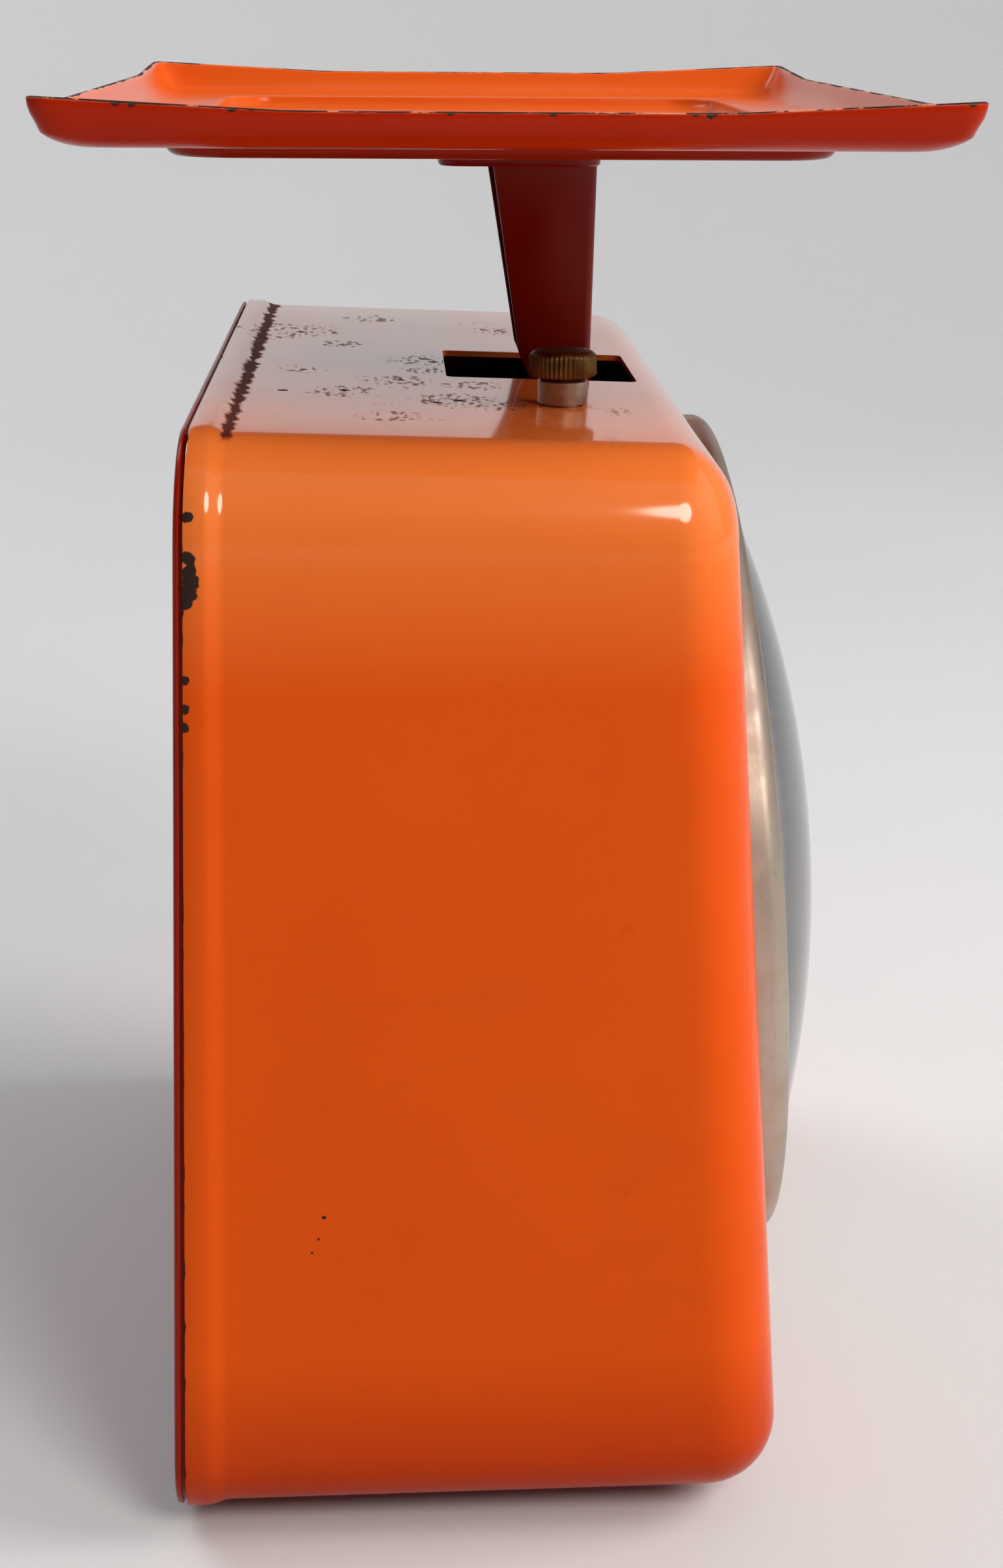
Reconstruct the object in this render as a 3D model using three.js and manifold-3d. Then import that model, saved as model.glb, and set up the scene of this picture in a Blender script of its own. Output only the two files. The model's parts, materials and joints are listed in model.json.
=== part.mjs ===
// Spring bench scale: enamelled steel case, domed dial, sprung column with a lift-off tray.
// Millimetres, +Z up, dial towards -Y. The origin is on the table under the middle of the tray.
import * as THREE from 'three';
import { mergeVertices } from 'three/addons/utils/BufferGeometryUtils.js';
import Module from 'manifold-3d';

const wasm = await Module();
wasm.setup();

// ---- driving dimensions ----
const GAP = 0.3;                  // between pieces that touch
const PLAY = 0.3;                 // radial play of a turning or sliding fit
const SHEET = 1.2;                // enamelled steel sheet
const PLATE = 1.5;                // bare steel of the mechanism

const FOOT_HEIGHT = 4;            // table to the case's underside at the back
const CASE_HEIGHT = 207;          // underside to top at the back, without the rear band
const CASE_WIDTH = 217.5;           // at the back, without the rear band
const FRONT_WIDTH = 213;          // draft of the sides
const FRONT_RISE = 0.5;             // underside climbs towards the front
const FRONT_FALL = 2.6;           // top drops towards the front
const CASE_BACK = 59.5;             // Y of the back edge at the case's underside
const BACK_LEAN = 0.028;          // back edge moves forward per unit of height
const CASE_FRONT = -55.6;         // Y of the front plane at the case's underside
const FRONT_LEAN = 0.0755;        // front plane moves back per unit of height
const TOP_RADIUS = 17;
const BOTTOM_RADIUS = 15.5;
const FRONT_RADIUS = 12.5;
const BAND_WIDTH = 6.1;           // widened rear band of the case
const BAND_FLARE = 1;
const COVER_GAP = 0.8;            // open line between the case's back edge and the cover
const COVER_SHEET = 1.4;
const COVER_INSET = 0.5;
const COVER_FLANGE = 4;

const SLOT_BACK = 8.3;            // opening in the case top that the column passes
const SLOT_FRONT = -30;
const SLOT_HALF = 19.5;

const TRAVEL = 20;                // tray travel at full load
const COLUMN_FRONT = -21.3;         // Y of the column's web
const COLUMN_TOP_BACK = -0.8;
const COLUMN_SLOT_BACK = -6.6;
const COLUMN_NECK_BACK = -11;
const COLUMN_TOP_HALF = 19;
const COLUMN_SLOT_HALF = 10;
const COLUMN_FOOT = 32;           // height above the case's underside
const NECK_RISE = 4;              // from the slot up to where the column starts to narrow
const NECK_DROP = 10.5;              // from there down to where it runs straight

const TRAY_WIDTH = 224.6;
const TRAY_LENGTH = 153;
const TRAY_CORNER = 12.5;
const TRAY_FLOOR_RISE = 45;       // floor's underside above the case's back top edge
const TRAY_LEDGE_RISE = 2.5;      // ledge above the floor
const TRAY_WALL = 6.2;            // rim above the ledge
const TRAY_EAR = 2.1;             // corners stand above the rim
const TRAY_EAR_REACH = 42;
const TRAY_SQUARE = 10;           // how square the rim's corners are, 2 being round
const TRAY_FLARE = 8;
const RECESS_WIDTH = 180;
const RECESS_LENGTH = 115;
const RECESS_CORNER = 9;
const SUPPORT_BACK = 10;
const SUPPORT_HALF = 30;
const SUPPORT_THICK = 4.5;

const DIAL_HEIGHT = 105;          // dial centre above the case's underside
const BEZEL_OUTER = 89;
const BEZEL_WIDTH = 6.8;
const BEZEL_PROUD = 6.8;
const BEZEL_SHEET = 1;
const LENS_SAG = 15.6;
const LENS_THICK = 1.5;
const OPENING_INSET = 14;         // edge of the case's round opening inside the bezel's outer edge
const DIAL_THICK = 0.8;
const POINTER_CLEAR = 17.4;       // pointer's tip inside the lens
const POINTER_TAIL = 18;

const MODULE = 0.4;               // rack and pinion
const TEETH = 16;
const PRESSURE = THREE.MathUtils.degToRad(20);
const BACKLASH = 0.12;
const RACK_SPARE = 7;             // teeth beyond the travel
const RACK_FACE = 3;
const RACK_BACK = 2.6;
const RACK_DEPTH = 8.5;           // rack face behind the case's front plane
const ARBOR_RADIUS = 1.5;
const BRIDGE_DEPTH = 17;
const PILLAR_X = 34;
const PILLAR_RADIUS = 3;

const LEVER_REACH = 49.5;         // chassis pivot to column pin, level
const LEVER_ARM = TRAVEL / 0.4;   // swing of 0.4 radian over the travel
const PIN_Y = -16;
const PIN_RADIUS = 1.5;
const UPPER_PIN_RISE = 51;        // column pins from the dial's centre, tray unloaded
const LOWER_PIN_DROP = 31;
const LEVER_HALF = 14;
const LEVER_BAR = 9;

const CHASSIS_HALF = 60;
const CHASSIS_BACK = 48;
const CHASSIS_FRONT = -30;
const CHASSIS_DROP = 12;          // chassis's upper face below the case's back top edge
const LUG_X = 17;
const SPRING_X = 51.6;
const SPRING_Y = -12.8;
const SPRING_RADIUS = 7;
const SPRING_WIRE = 1.8;
const HANGER_DROP = 24;           // spring hangers below the chassis's upper face
const HANGER_BLOCK = 10;
const BAR_HEIGHT = 40;
const BAR_DEEP = 6;
const BAR_THICK = 4.4;

const KNOB_RADIUS = 6.35;
const KNOB_HEIGHT = 4.8;
const KNOB_LIFT = 0.5;
const COLLAR_RADIUS = 4.65;
const COLLAR_HEIGHT = 4.5;
const SCREW_RADIUS = 2;

const FASTENER = 1.5;             // shank radius of the small screws
const HEAD_RADIUS = 3.4;
const HEAD_HEIGHT = 1.7;
const FOOT_RADIUS = 7;
const FOOT_X = 78;
const FOOT_BACK = 42;
const FOOT_FRONT = -34;
const STEM_RADIUS = 2.5;
const CHASSIS_SCREW_X = 44;
const COVER_SCREW_X = 46;
const COVER_SCREW_INSET = 32;     // from the case's underside, and from its top
const DIAL_SIDES = 40;            // facets round the bezel, lens, dial and their opening
const TRAY_FACET = 48;            // longest edge of the tray's faces

// ---- solids ----
function solid(geometry) {
  const bare = geometry.clone();
  bare.deleteAttribute('normal');
  bare.deleteAttribute('uv');
  const merged = mergeVertices(bare, 1e-4);
  const places = merged.attributes.position.array;
  const index = merged.index.array;
  const corners = [];
  const a = new THREE.Vector3();
  const b = new THREE.Vector3();
  const c = new THREE.Vector3();
  let volume = 0;
  for (let i = 0; i < index.length; i += 3) {
    const [p, q, r] = [index[i], index[i + 1], index[i + 2]];
    if (p === q || q === r || r === p) continue;
    corners.push(p, q, r);
    a.fromArray(places, p * 3);
    b.fromArray(places, q * 3);
    c.fromArray(places, r * 3);
    volume += a.dot(b.cross(c));
  }
  if (volume < 0) corners.reverse();
  const mesh = { numProp: 3, vertProperties: new Float32Array(places), triVerts: new Uint32Array(corners) };
  return new wasm.Manifold(new wasm.Mesh(mesh));
}

function toGeometry(body) {
  const mesh = body.getMesh();
  const geometry = new THREE.BufferGeometry();
  geometry.setAttribute('position', new THREE.BufferAttribute(new Float32Array(mesh.vertProperties), 3));
  geometry.setIndex(new THREE.BufferAttribute(new Uint32Array(mesh.triVerts), 1));
  return geometry;
}

const join = (first, ...others) => others.reduce((sum, part) => sum.add(part), first);
const cut = (first, ...others) => others.reduce((rest, part) => rest.subtract(part), first);

function box(x0, x1, y0, y1, z0, z1) {
  const block = new THREE.BoxGeometry(x1 - x0, y1 - y0, z1 - z0);
  return solid(block.translate((x0 + x1) / 2, (y0 + y1) / 2, (z0 + z1) / 2));
}

function rodX(radius, x0, x1, y, z, sides = 12) {
  const rod = new THREE.CylinderGeometry(radius, radius, x1 - x0, sides).rotateZ(Math.PI / 2);
  return solid(rod.translate((x0 + x1) / 2, y, z));
}

function rodY(radius, y0, y1, x, z, sides = 12) {
  const rod = new THREE.CylinderGeometry(radius, radius, y1 - y0, sides);
  return solid(rod.translate(x, (y0 + y1) / 2, z));
}

function rodZ(radius, z0, z1, x, y, sides = 12) {
  const rod = new THREE.CylinderGeometry(radius, radius, z1 - z0, sides).rotateX(Math.PI / 2);
  return solid(rod.translate(x, y, (z0 + z1) / 2));
}

// A turned piece: [radius, height] pairs, closed on the axis or on themselves, about Z or about Y.
function turned(profile, sides = 24) {
  return new THREE.LatheGeometry(profile.map(([r, h]) => new THREE.Vector2(r, h)), sides);
}
const turnedY = (profile, sides) => solid(turned(profile, sides));
const turnedZ = (profile, sides) => solid(turned(profile, sides).rotateX(Math.PI / 2));

function moveVertices(geometry, place) {
  const position = geometry.attributes.position;
  for (let i = 0; i < position.count; i += 1) {
    const [x, y, z] = place(position.getX(i), position.getY(i), position.getZ(i));
    position.setXYZ(i, x, y, z);
  }
  return geometry;
}

function roundedOutline(x0, x1, y0, y1, lower, upper = lower) {
  const outline = new THREE.Shape();
  outline.moveTo(x0 + lower, y0);
  outline.lineTo(x1 - lower, y0);
  outline.absarc(x1 - lower, y0 + lower, lower, -Math.PI / 2, 0);
  outline.lineTo(x1, y1 - upper);
  outline.absarc(x1 - upper, y1 - upper, upper, 0, Math.PI / 2);
  outline.lineTo(x0 + upper, y1);
  outline.absarc(x0 + upper, y1 - upper, upper, Math.PI / 2, Math.PI);
  outline.lineTo(x0, y0 + lower);
  outline.absarc(x0 + lower, y0 + lower, lower, Math.PI, Math.PI * 1.5);
  return outline;
}

function extrude(outline, depth, bevel = 0, height = bevel, curveSegments = 4) {
  const settings = { depth, curveSegments, bevelEnabled: bevel > 0, bevelSegments: curveSegments };
  settings.bevelSize = bevel;
  settings.bevelOffset = -bevel;
  settings.bevelThickness = height;
  return new THREE.ExtrudeGeometry(outline, settings);
}

// A pan-head screw along +Z: head underside at 0, shank below, slot across the head.
function panScrew(length, radius = HEAD_RADIUS, head = HEAD_HEIGHT) {
  const profile = [[0, -length], [FASTENER, -length], [FASTENER, 0], [radius, 0]];
  profile.push([radius, head * 0.4], [radius * 0.75, head * 0.85], [0, head]);
  const slot = box(-radius * 2, radius * 2, -0.4, 0.4, head * 0.5, head * 2);
  return cut(turnedZ(profile, 10), slot);
}

// ---- the object ----
const scale = new THREE.Group();

function finish(colour, roughness, metalness = 0) {
  return new THREE.MeshStandardMaterial({ color: colour, roughness, metalness });
}
const enamel = () => finish(0xd9541c, 0.25);
const steel = () => finish(0x9a9b9c, 0.45, 0.9);
const brass = () => finish(0xa98a4f, 0.4, 1);
const rubber = () => finish(0x1c1b1a, 0.85);

function piece(name, body, material, parent = scale) {
  const mesh = new THREE.Mesh(toGeometry(body), material);
  mesh.name = name;
  parent.add(mesh);
  return mesh;
}

const trayFloor = CASE_HEIGHT + TRAY_FLOOR_RISE;
const trayLedge = trayFloor + TRAY_LEDGE_RISE;
const trayRim = trayLedge + TRAY_WALL;
const bezelInner = BEZEL_OUTER - BEZEL_WIDTH;
const openingRadius = BEZEL_OUTER - OPENING_INSET;

// The case is drawn as a straight box (x, height, depth from the back) and then leant into shape.
const CASE_DEPTH = CASE_BACK - CASE_FRONT;
const backAt = (height) => CASE_BACK - BACK_LEAN * height;
const frontAt = (height) => CASE_FRONT + FRONT_LEAN * height;

function leanCase(x, height, depth) {
  const share = depth / CASE_DEPTH;
  const y = backAt(height) + (frontAt(height) - backAt(height)) * share;
  const z = FOOT_HEIGHT + FRONT_RISE * share + height * (1 - (FRONT_RISE + FRONT_FALL) * share / CASE_HEIGHT);
  return [x * (1 + (FRONT_WIDTH / CASE_WIDTH - 1) * share), y, z];
}

function floorAt(y) {
  return FOOT_HEIGHT + FRONT_RISE * (CASE_BACK - y) / CASE_DEPTH;
}

function topAt(y) {
  const share = (backAt(CASE_HEIGHT) - y) / (backAt(CASE_HEIGHT) - frontAt(CASE_HEIGHT));
  return FOOT_HEIGHT + CASE_HEIGHT - FRONT_FALL * share;
}

function caseOutline(inset) {
  const half = CASE_WIDTH / 2 - inset;
  return roundedOutline(-half, half, inset, CASE_HEIGHT - inset, BOTTOM_RADIUS - inset, TOP_RADIUS - inset);
}

function caseSlice(inset, from, to) {
  return extrude(caseOutline(inset), to - from).translate(0, 0, from);
}

function caseBody(inset) {
  const bevel = FRONT_RADIUS - inset;
  const drawn = extrude(caseOutline(inset), CASE_DEPTH, bevel);
  return drawn.translate(0, 0, -inset - bevel);
}

const lean = (geometry) => solid(moveVertices(geometry, leanCase));

// The dial's own frame: -Y out of the leaning front plane, origin at the dial centre.
const leanAngle = Math.atan(FRONT_LEAN);
const dial = new THREE.Group();
dial.position.set(0, frontAt(DIAL_HEIGHT), FOOT_HEIGHT + DIAL_HEIGHT);
dial.rotation.x = -leanAngle;
dial.updateMatrix();
scale.add(dial);

const coverOuter = -COVER_GAP - COVER_SHEET;
const coverHeights = [COVER_SCREW_INSET, CASE_HEIGHT - COVER_SCREW_INSET];
const coverScrews = [-1, 1].flatMap((side) => coverHeights.map((height) => [side * COVER_SCREW_X, height]));
const chassisFloor = FOOT_HEIGHT + FRONT_RISE + SHEET + GAP;
const chassisTop = FOOT_HEIGHT + CASE_HEIGHT - CHASSIS_DROP;
const chassisScrews = [-1, 1].flatMap((side) => [-22, 38].map((y) => [side * CHASSIS_SCREW_X, y]));
const feet = [-1, 1].flatMap((side) => [FOOT_FRONT, FOOT_BACK].map((y) => [side * FOOT_X, y]));
const collarShank = COLLAR_RADIUS - 1.2;

function caseShell() {
  const behind = solid(new THREE.BoxGeometry(400, 500, 100).translate(0, CASE_HEIGHT / 2, -50));
  const outer = join(cut(solid(caseBody(0)), behind), solid(caseSlice(-BAND_FLARE, 0, BAND_WIDTH)));
  const innerBand = solid(caseSlice(SHEET - BAND_FLARE, -BAND_WIDTH, BAND_WIDTH - SHEET));
  const straight = cut(outer, solid(caseBody(SHEET)), innerBand);
  let shell = lean(toGeometry(straight));
  const opening = new THREE.CylinderGeometry(openingRadius, openingRadius, 20, DIAL_SIDES);
  shell = cut(shell, solid(opening.applyMatrix4(dial.matrix)));
  shell = cut(shell, box(-SLOT_HALF, SLOT_HALF, SLOT_FRONT, SLOT_BACK, chassisTop, topAt(SLOT_BACK) + 9));
  shell = cut(shell, rodZ(collarShank + GAP, chassisTop, topAt(SPRING_Y) + 9, -SPRING_X, SPRING_Y, 20));
  for (const [x, y] of feet) shell = cut(shell, rodZ(STEM_RADIUS + GAP, 0, chassisFloor + 2, x, y));
  for (const [x, y] of chassisScrews) shell = cut(shell, rodZ(FASTENER + GAP, 0, chassisFloor, x, y));
  return shell;
}

function backCover() {
  const plate = solid(caseSlice(COVER_INSET - BAND_FLARE, coverOuter, -COVER_GAP));
  const wallOut = SHEET - BAND_FLARE + GAP;
  const flange = solid(caseSlice(wallOut, -COVER_GAP - COVER_SHEET / 2, COVER_FLANGE));
  const hollow = solid(caseSlice(wallOut + SHEET, -COVER_GAP, COVER_FLANGE + 1));
  let cover = lean(toGeometry(cut(join(plate, flange), hollow)));
  for (const [x, height] of coverScrews) {
    const z = FOOT_HEIGHT + height;
    cover = cut(cover, rodY(FASTENER + GAP, CHASSIS_BACK, CASE_BACK + 9, x, z));
  }
  return cover;
}

piece('case_shell', caseShell(), enamel());
piece('back_cover', backCover(), enamel());
coverScrews.forEach(([x, height], i) => {
  const seat = backAt(height) - coverOuter + GAP + HEAD_RADIUS * BACK_LEAN;
  const screw = piece(`back_cover_screw_${i + 1}`, panScrew(seat - CHASSIS_BACK + PLATE + 2), steel());
  screw.rotation.x = -Math.PI / 2;
  screw.position.set(x, seat, FOOT_HEIGHT + height);
});

// ---- feet ----
feet.forEach(([x, y], i) => {
  const under = floorAt(y) - GAP - FOOT_RADIUS * FRONT_RISE / CASE_DEPTH;
  const over = floorAt(y) + SHEET + GAP + 0.1;
  const profile = [[0, 0], [FOOT_RADIUS - 0.8, 0], [FOOT_RADIUS, 0.8], [FOOT_RADIUS, under], [STEM_RADIUS, under]];
  profile.push([STEM_RADIUS, over], [STEM_RADIUS + 1.5, over], [STEM_RADIUS, over + 1.6], [0, over + 1.6]);
  piece(`foot_${i + 1}`, turnedZ(profile, 14), rubber()).position.set(x, y, 0);
});

// ---- dial, lens and pointer, in the dial's leaning frame ----
function bezelRing() {
  const width = BEZEL_OUTER - bezelInner;
  const middle = bezelInner + width / 2;
  const crown = -(BEZEL_PROUD - width / 2);
  const profile = [[BEZEL_OUTER, -GAP]];
  for (let i = 0; i <= 5; i += 1) {
    const turn = Math.PI * i / 5;
    profile.push([middle + width / 2 * Math.cos(turn), crown - width / 2 * Math.sin(turn)]);
  }
  profile.push([bezelInner, -2.4], [bezelInner + BEZEL_SHEET, -2.4]);
  for (let i = 3; i >= 0; i -= 1) {
    const turn = Math.PI * i / 3;
    const inner = width / 2 - BEZEL_SHEET;
    profile.push([middle + inner * Math.cos(turn), crown - inner * Math.sin(turn)]);
  }
  profile.push([BEZEL_OUTER - BEZEL_SHEET, -GAP], [BEZEL_OUTER, -GAP]);
  return turnedY(profile, DIAL_SIDES);
}

const lensOuter = bezelInner - GAP;
const lensInner = lensOuter - LENS_THICK;
const lensSpring = 5.4;
function lensShell() {
  const flange = BEZEL_OUTER - BEZEL_SHEET - GAP - 0.4;
  const profile = [[lensInner, -0.5], [flange, -0.5], [flange, -2], [lensOuter, -2]];
  const dome = (rim, sag, share) => {
    const ball = (rim * rim + sag * sag) / (2 * sag);
    const radius = rim * share;
    return [radius, -lensSpring - (Math.sqrt(ball * ball - radius * radius) - (ball - sag))];
  };
  for (const share of [1, 0.66, 0.33, 0]) profile.push(dome(lensOuter, LENS_SAG + LENS_THICK, share));
  for (const share of [0, 0.33, 0.66, 1]) profile.push(dome(lensInner, LENS_SAG, share));
  profile.push([lensInner, -0.5]);
  return turnedY(profile, DIAL_SIDES);
}

const dialOuter = lensInner - 0.4;
const bushOuter = ARBOR_RADIUS + PLAY + 1.4;
const dialFace = -GAP - DIAL_THICK;
const pillarEnd = BRIDGE_DEPTH - GAP;
const pinionPitch = MODULE * TEETH / 2;
const slip = TRAVEL * Math.sin(leanAngle);

function dialPlate() {
  let plate = rodY(dialOuter, dialFace, -GAP, 0, 0, DIAL_SIDES);
  plate = cut(plate, rodY(bushOuter + GAP, -9, 9, 0, 0, 16));
  for (const side of [-1, 1]) plate = cut(plate, rodY(FASTENER + GAP, -9, 9, side * PILLAR_X, 0));
  return plate;
}

function pillar() {
  const body = rodY(PILLAR_RADIUS, 0, pillarEnd, 0, 0, 12);
  return cut(body, rodY(FASTENER + GAP, -1, 6, 0, 0), rodY(FASTENER + GAP, pillarEnd - 6, pillarEnd + 1, 0, 0));
}

function bridge() {
  const half = PILLAR_X + 6;
  const outline = roundedOutline(-half, half, -6.5, 6.5, 5);
  const plate = solid(extrude(outline, PLATE).rotateX(Math.PI / 2).translate(0, BRIDGE_DEPTH + PLATE, 0));
  const holes = [-1, 1].map((side) => rodY(FASTENER + GAP, 0, 40, side * PILLAR_X, 0));
  return cut(plate, rodY(bushOuter + GAP, 0, 40, 0, 0, 20), ...holes);
}

function bush(from, to) {
  const bore = ARBOR_RADIUS + PLAY;
  return turnedY([[bore, from], [bushOuter, from], [bushOuter, to], [bore, to], [bore, from]], 14);
}

// One involute tooth flank after another, tooth spaces centred on +X.
function pinionOutline() {
  const base = pinionPitch * Math.cos(PRESSURE);
  const tip = pinionPitch + MODULE * 0.9;
  const root = pinionPitch - MODULE * 1.2;
  const involute = (angle) => Math.tan(angle) - angle;
  const halfAtPitch = Math.PI / (2 * TEETH) - BACKLASH / (2 * pinionPitch);
  const halfAt = (radius) => halfAtPitch + involute(PRESSURE) - involute(Math.acos(base / radius));
  const flank = [[root, halfAt(base)], [base, halfAt(base)], [pinionPitch, halfAtPitch], [tip, halfAt(tip)]];
  const points = [];
  for (let tooth = 0; tooth < TEETH; tooth += 1) {
    const centre = (tooth + 0.5) * 2 * Math.PI / TEETH;
    const rising = flank.map(([radius, half]) => [radius, centre - half]);
    const falling = flank.map(([radius, half]) => [radius, centre + half]).reverse();
    for (const [radius, angle] of [...rising, ...falling]) {
      points.push(new THREE.Vector2(radius * Math.cos(angle), radius * Math.sin(angle)));
    }
  }
  return new THREE.Shape(points);
}

function pinionBody() {
  const face = RACK_FACE + slip + 0.6;
  const teeth = solid(extrude(pinionOutline(), face).rotateX(Math.PI / 2).translate(0, RACK_DEPTH - 0.3 + face, 0));
  return cut(teeth, rodY(ARBOR_RADIUS + GAP, 0, 30, 0, 0));
}

const pointerLength = lensInner - POINTER_CLEAR;
function pointerPlate() {
  const outline = new THREE.Shape();
  outline.moveTo(-2.2, -POINTER_TAIL);
  outline.lineTo(2.2, -POINTER_TAIL);
  outline.lineTo(4.2, 0);
  outline.lineTo(2.6, 8);
  outline.lineTo(0.7, pointerLength);
  outline.lineTo(-0.7, pointerLength);
  outline.lineTo(-2.6, 8);
  outline.lineTo(-4.2, 0);
  const plate = solid(extrude(outline, DIAL_THICK).rotateX(Math.PI / 2));
  return cut(plate, rodY(ARBOR_RADIUS + GAP, -9, 9, 0, 0));
}

const pointerBack = dialFace - 2.2;
const arborFront = pointerBack - DIAL_THICK - 1.2;
const arborBack = BRIDGE_DEPTH + PLATE + 1.6;

piece('dial_bezel', bezelRing(), finish(0x8f857c, 0.4, 1), dial);
piece('dial_lens', lensShell(), finish(0xdfe4e4, 0.05), dial);
piece('dial_plate', dialPlate(), finish(0xf0efe9, 0.5), dial);
[-1, 1].forEach((side, i) => {
  const screw = piece(`dial_screw_${i + 1}`, panScrew(5, 2.6, 1.1), steel(), dial);
  screw.rotation.x = Math.PI / 2;
  screw.position.set(side * PILLAR_X, dialFace - GAP, 0);
  piece(`bridge_pillar_${i + 1}`, pillar(), brass(), dial).position.set(side * PILLAR_X, 0, 0);
  const rear = piece(`bridge_screw_${i + 1}`, panScrew(6, 2.6, 1.4), steel(), dial);
  rear.rotation.x = -Math.PI / 2;
  rear.position.set(side * PILLAR_X, BRIDGE_DEPTH + PLATE + GAP, 0);
});
piece('movement_bridge', bridge(), steel(), dial);
piece('front_bush', bush(dialFace - 0.4, 1.6), brass(), dial);
piece('rear_bush', bush(BRIDGE_DEPTH - 0.6, BRIDGE_DEPTH + PLATE + 0.6), brass(), dial);
piece('arbor', rodY(ARBOR_RADIUS, arborFront, arborBack, 0, 0), steel(), dial);
piece('pinion', pinionBody(), brass(), dial);
piece('pointer', pointerPlate(), finish(0x1a1a1a, 0.4), dial).position.set(0, pointerBack, 0);
const capProfile = [[0, -2.2], [3, -1.9], [4.6, -1], [5, 0], [ARBOR_RADIUS + GAP, 0]];
capProfile.push([ARBOR_RADIUS + GAP, -1.5], [0, -1.5]);
piece('pointer_cap', turnedY(capProfile, 20), brass(), dial).position.set(0, pointerBack - DIAL_THICK - GAP, 0);

// ---- chassis ----
const restSwing = TRAVEL / 2 / LEVER_ARM;
const restRise = LEVER_REACH * Math.tan(restSwing);
const pivotY = PIN_Y + LEVER_REACH;
const dialZ = FOOT_HEIGHT + DIAL_HEIGHT;
const pinHeights = { upper: dialZ + UPPER_PIN_RISE, lower: dialZ - LOWER_PIN_DROP };

function chassisFrame() {
  const profile = new THREE.Shape();
  profile.moveTo(CHASSIS_FRONT, chassisFloor);
  profile.lineTo(CHASSIS_BACK, chassisFloor);
  profile.lineTo(CHASSIS_BACK, chassisTop);
  profile.lineTo(CHASSIS_FRONT, chassisTop);
  profile.lineTo(CHASSIS_FRONT, chassisTop - PLATE);
  profile.lineTo(CHASSIS_BACK - PLATE, chassisTop - PLATE);
  profile.lineTo(CHASSIS_BACK - PLATE, chassisFloor + PLATE);
  profile.lineTo(CHASSIS_FRONT, chassisFloor + PLATE);
  const bent = extrude(profile, 2 * CHASSIS_HALF).rotateY(Math.PI / 2).rotateX(Math.PI / 2);
  let frame = solid(bent.translate(-CHASSIS_HALF, 0, 0));
  const lugY = pivotY - 6;
  for (const height of Object.values(pinHeights)) {
    const pivotZ = height - restRise;
    for (const side of [-1, 1]) {
      const edges = [side * LUG_X, side * (LUG_X + PLATE)].sort((p, q) => p - q);
      frame = join(frame, box(...edges, lugY, CHASSIS_BACK - PLATE / 2, pivotZ - 6, pivotZ + 6));
    }
    frame = cut(frame, rodX(PIN_RADIUS + GAP, -40, 40, pivotY, pivotZ));
  }
  const columnGap = SLOT_HALF + 2;
  frame = cut(frame, box(-columnGap, columnGap, CHASSIS_FRONT - 1, SLOT_BACK + 3, chassisTop - 9, chassisTop + 9));
  frame = cut(frame, box(-12, 12, CHASSIS_BACK - 9, CHASSIS_BACK + 9, 86, 118));
  for (const side of [-1, 1]) {
    const hole = side < 0 ? SCREW_RADIUS + PLAY : SCREW_RADIUS + GAP;
    frame = cut(frame, rodZ(hole, chassisTop - 9, chassisTop + 9, side * SPRING_X, SPRING_Y));
  }
  for (const [x, y] of chassisScrews) frame = cut(frame, rodZ(FASTENER + GAP, 0, chassisFloor + 9, x, y));
  for (const [x, height] of coverScrews) {
    frame = cut(frame, rodY(FASTENER + GAP, CHASSIS_BACK - 9, CHASSIS_BACK + 9, x, FOOT_HEIGHT + height));
  }
  return frame;
}

piece('chassis_frame', chassisFrame(), steel());
chassisScrews.forEach(([x, y], i) => {
  const seat = floorAt(y) - GAP - HEAD_RADIUS * FRONT_RISE / CASE_DEPTH;
  const screw = piece(`chassis_screw_${i + 1}`, panScrew(chassisFloor + PLATE + 2 - seat), steel());
  screw.rotation.x = Math.PI;
  screw.position.set(x, y, seat);
});

// ---- levers and their pins ----
function leverBody() {
  const slotFrom = LEVER_REACH - 0.4;
  const slotTo = LEVER_REACH / Math.cos(restSwing) + 0.4;
  const half = LEVER_BAR / 2;
  const outline = roundedOutline(-slotTo - half, half, -half, half, half - 0.2);
  const bar = extrude(outline, 2 * LEVER_HALF, 0, 0, 4).rotateY(Math.PI / 2).rotateX(Math.PI / 2);
  let lever = solid(bar.translate(-LEVER_HALF, 0, 0));
  const inner = LEVER_HALF - PLATE;
  const hollow = LEVER_BAR;
  lever = cut(lever, box(-inner, inner, -LEVER_REACH * 2, 20, PLATE - half, hollow));
  lever = cut(lever, box(-inner, inner, -LEVER_REACH * 2, -LEVER_REACH + 18, -hollow, hollow));
  lever = cut(lever, box(-inner, inner, -8, 20, -hollow, hollow));
  lever = cut(lever, rodX(PIN_RADIUS + PLAY, -40, 40, 0, 0));
  const slot = join(
    box(-40, 40, -slotTo, -slotFrom, -PIN_RADIUS - PLAY, PIN_RADIUS + PLAY),
    rodX(PIN_RADIUS + PLAY, -40, 40, -slotTo, 0),
    rodX(PIN_RADIUS + PLAY, -40, 40, -slotFrom, 0),
  );
  return cut(lever, slot);
}

for (const [level, height] of Object.entries(pinHeights)) {
  const pivotZ = height - restRise;
  const lever = piece(`${level}_lever`, leverBody(), steel());
  lever.position.set(0, pivotY, pivotZ);
  lever.rotation.x = -restSwing;
  const pivotPin = rodX(PIN_RADIUS, -LUG_X - PLATE - 2, LUG_X + PLATE + 2, pivotY, pivotZ);
  piece(`${level}_pivot_pin`, pivotPin, steel());
  piece(`${level}_column_pin`, rodX(PIN_RADIUS, -LEVER_HALF - 2, LEVER_HALF + 2, PIN_Y, height), steel());
}

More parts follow.
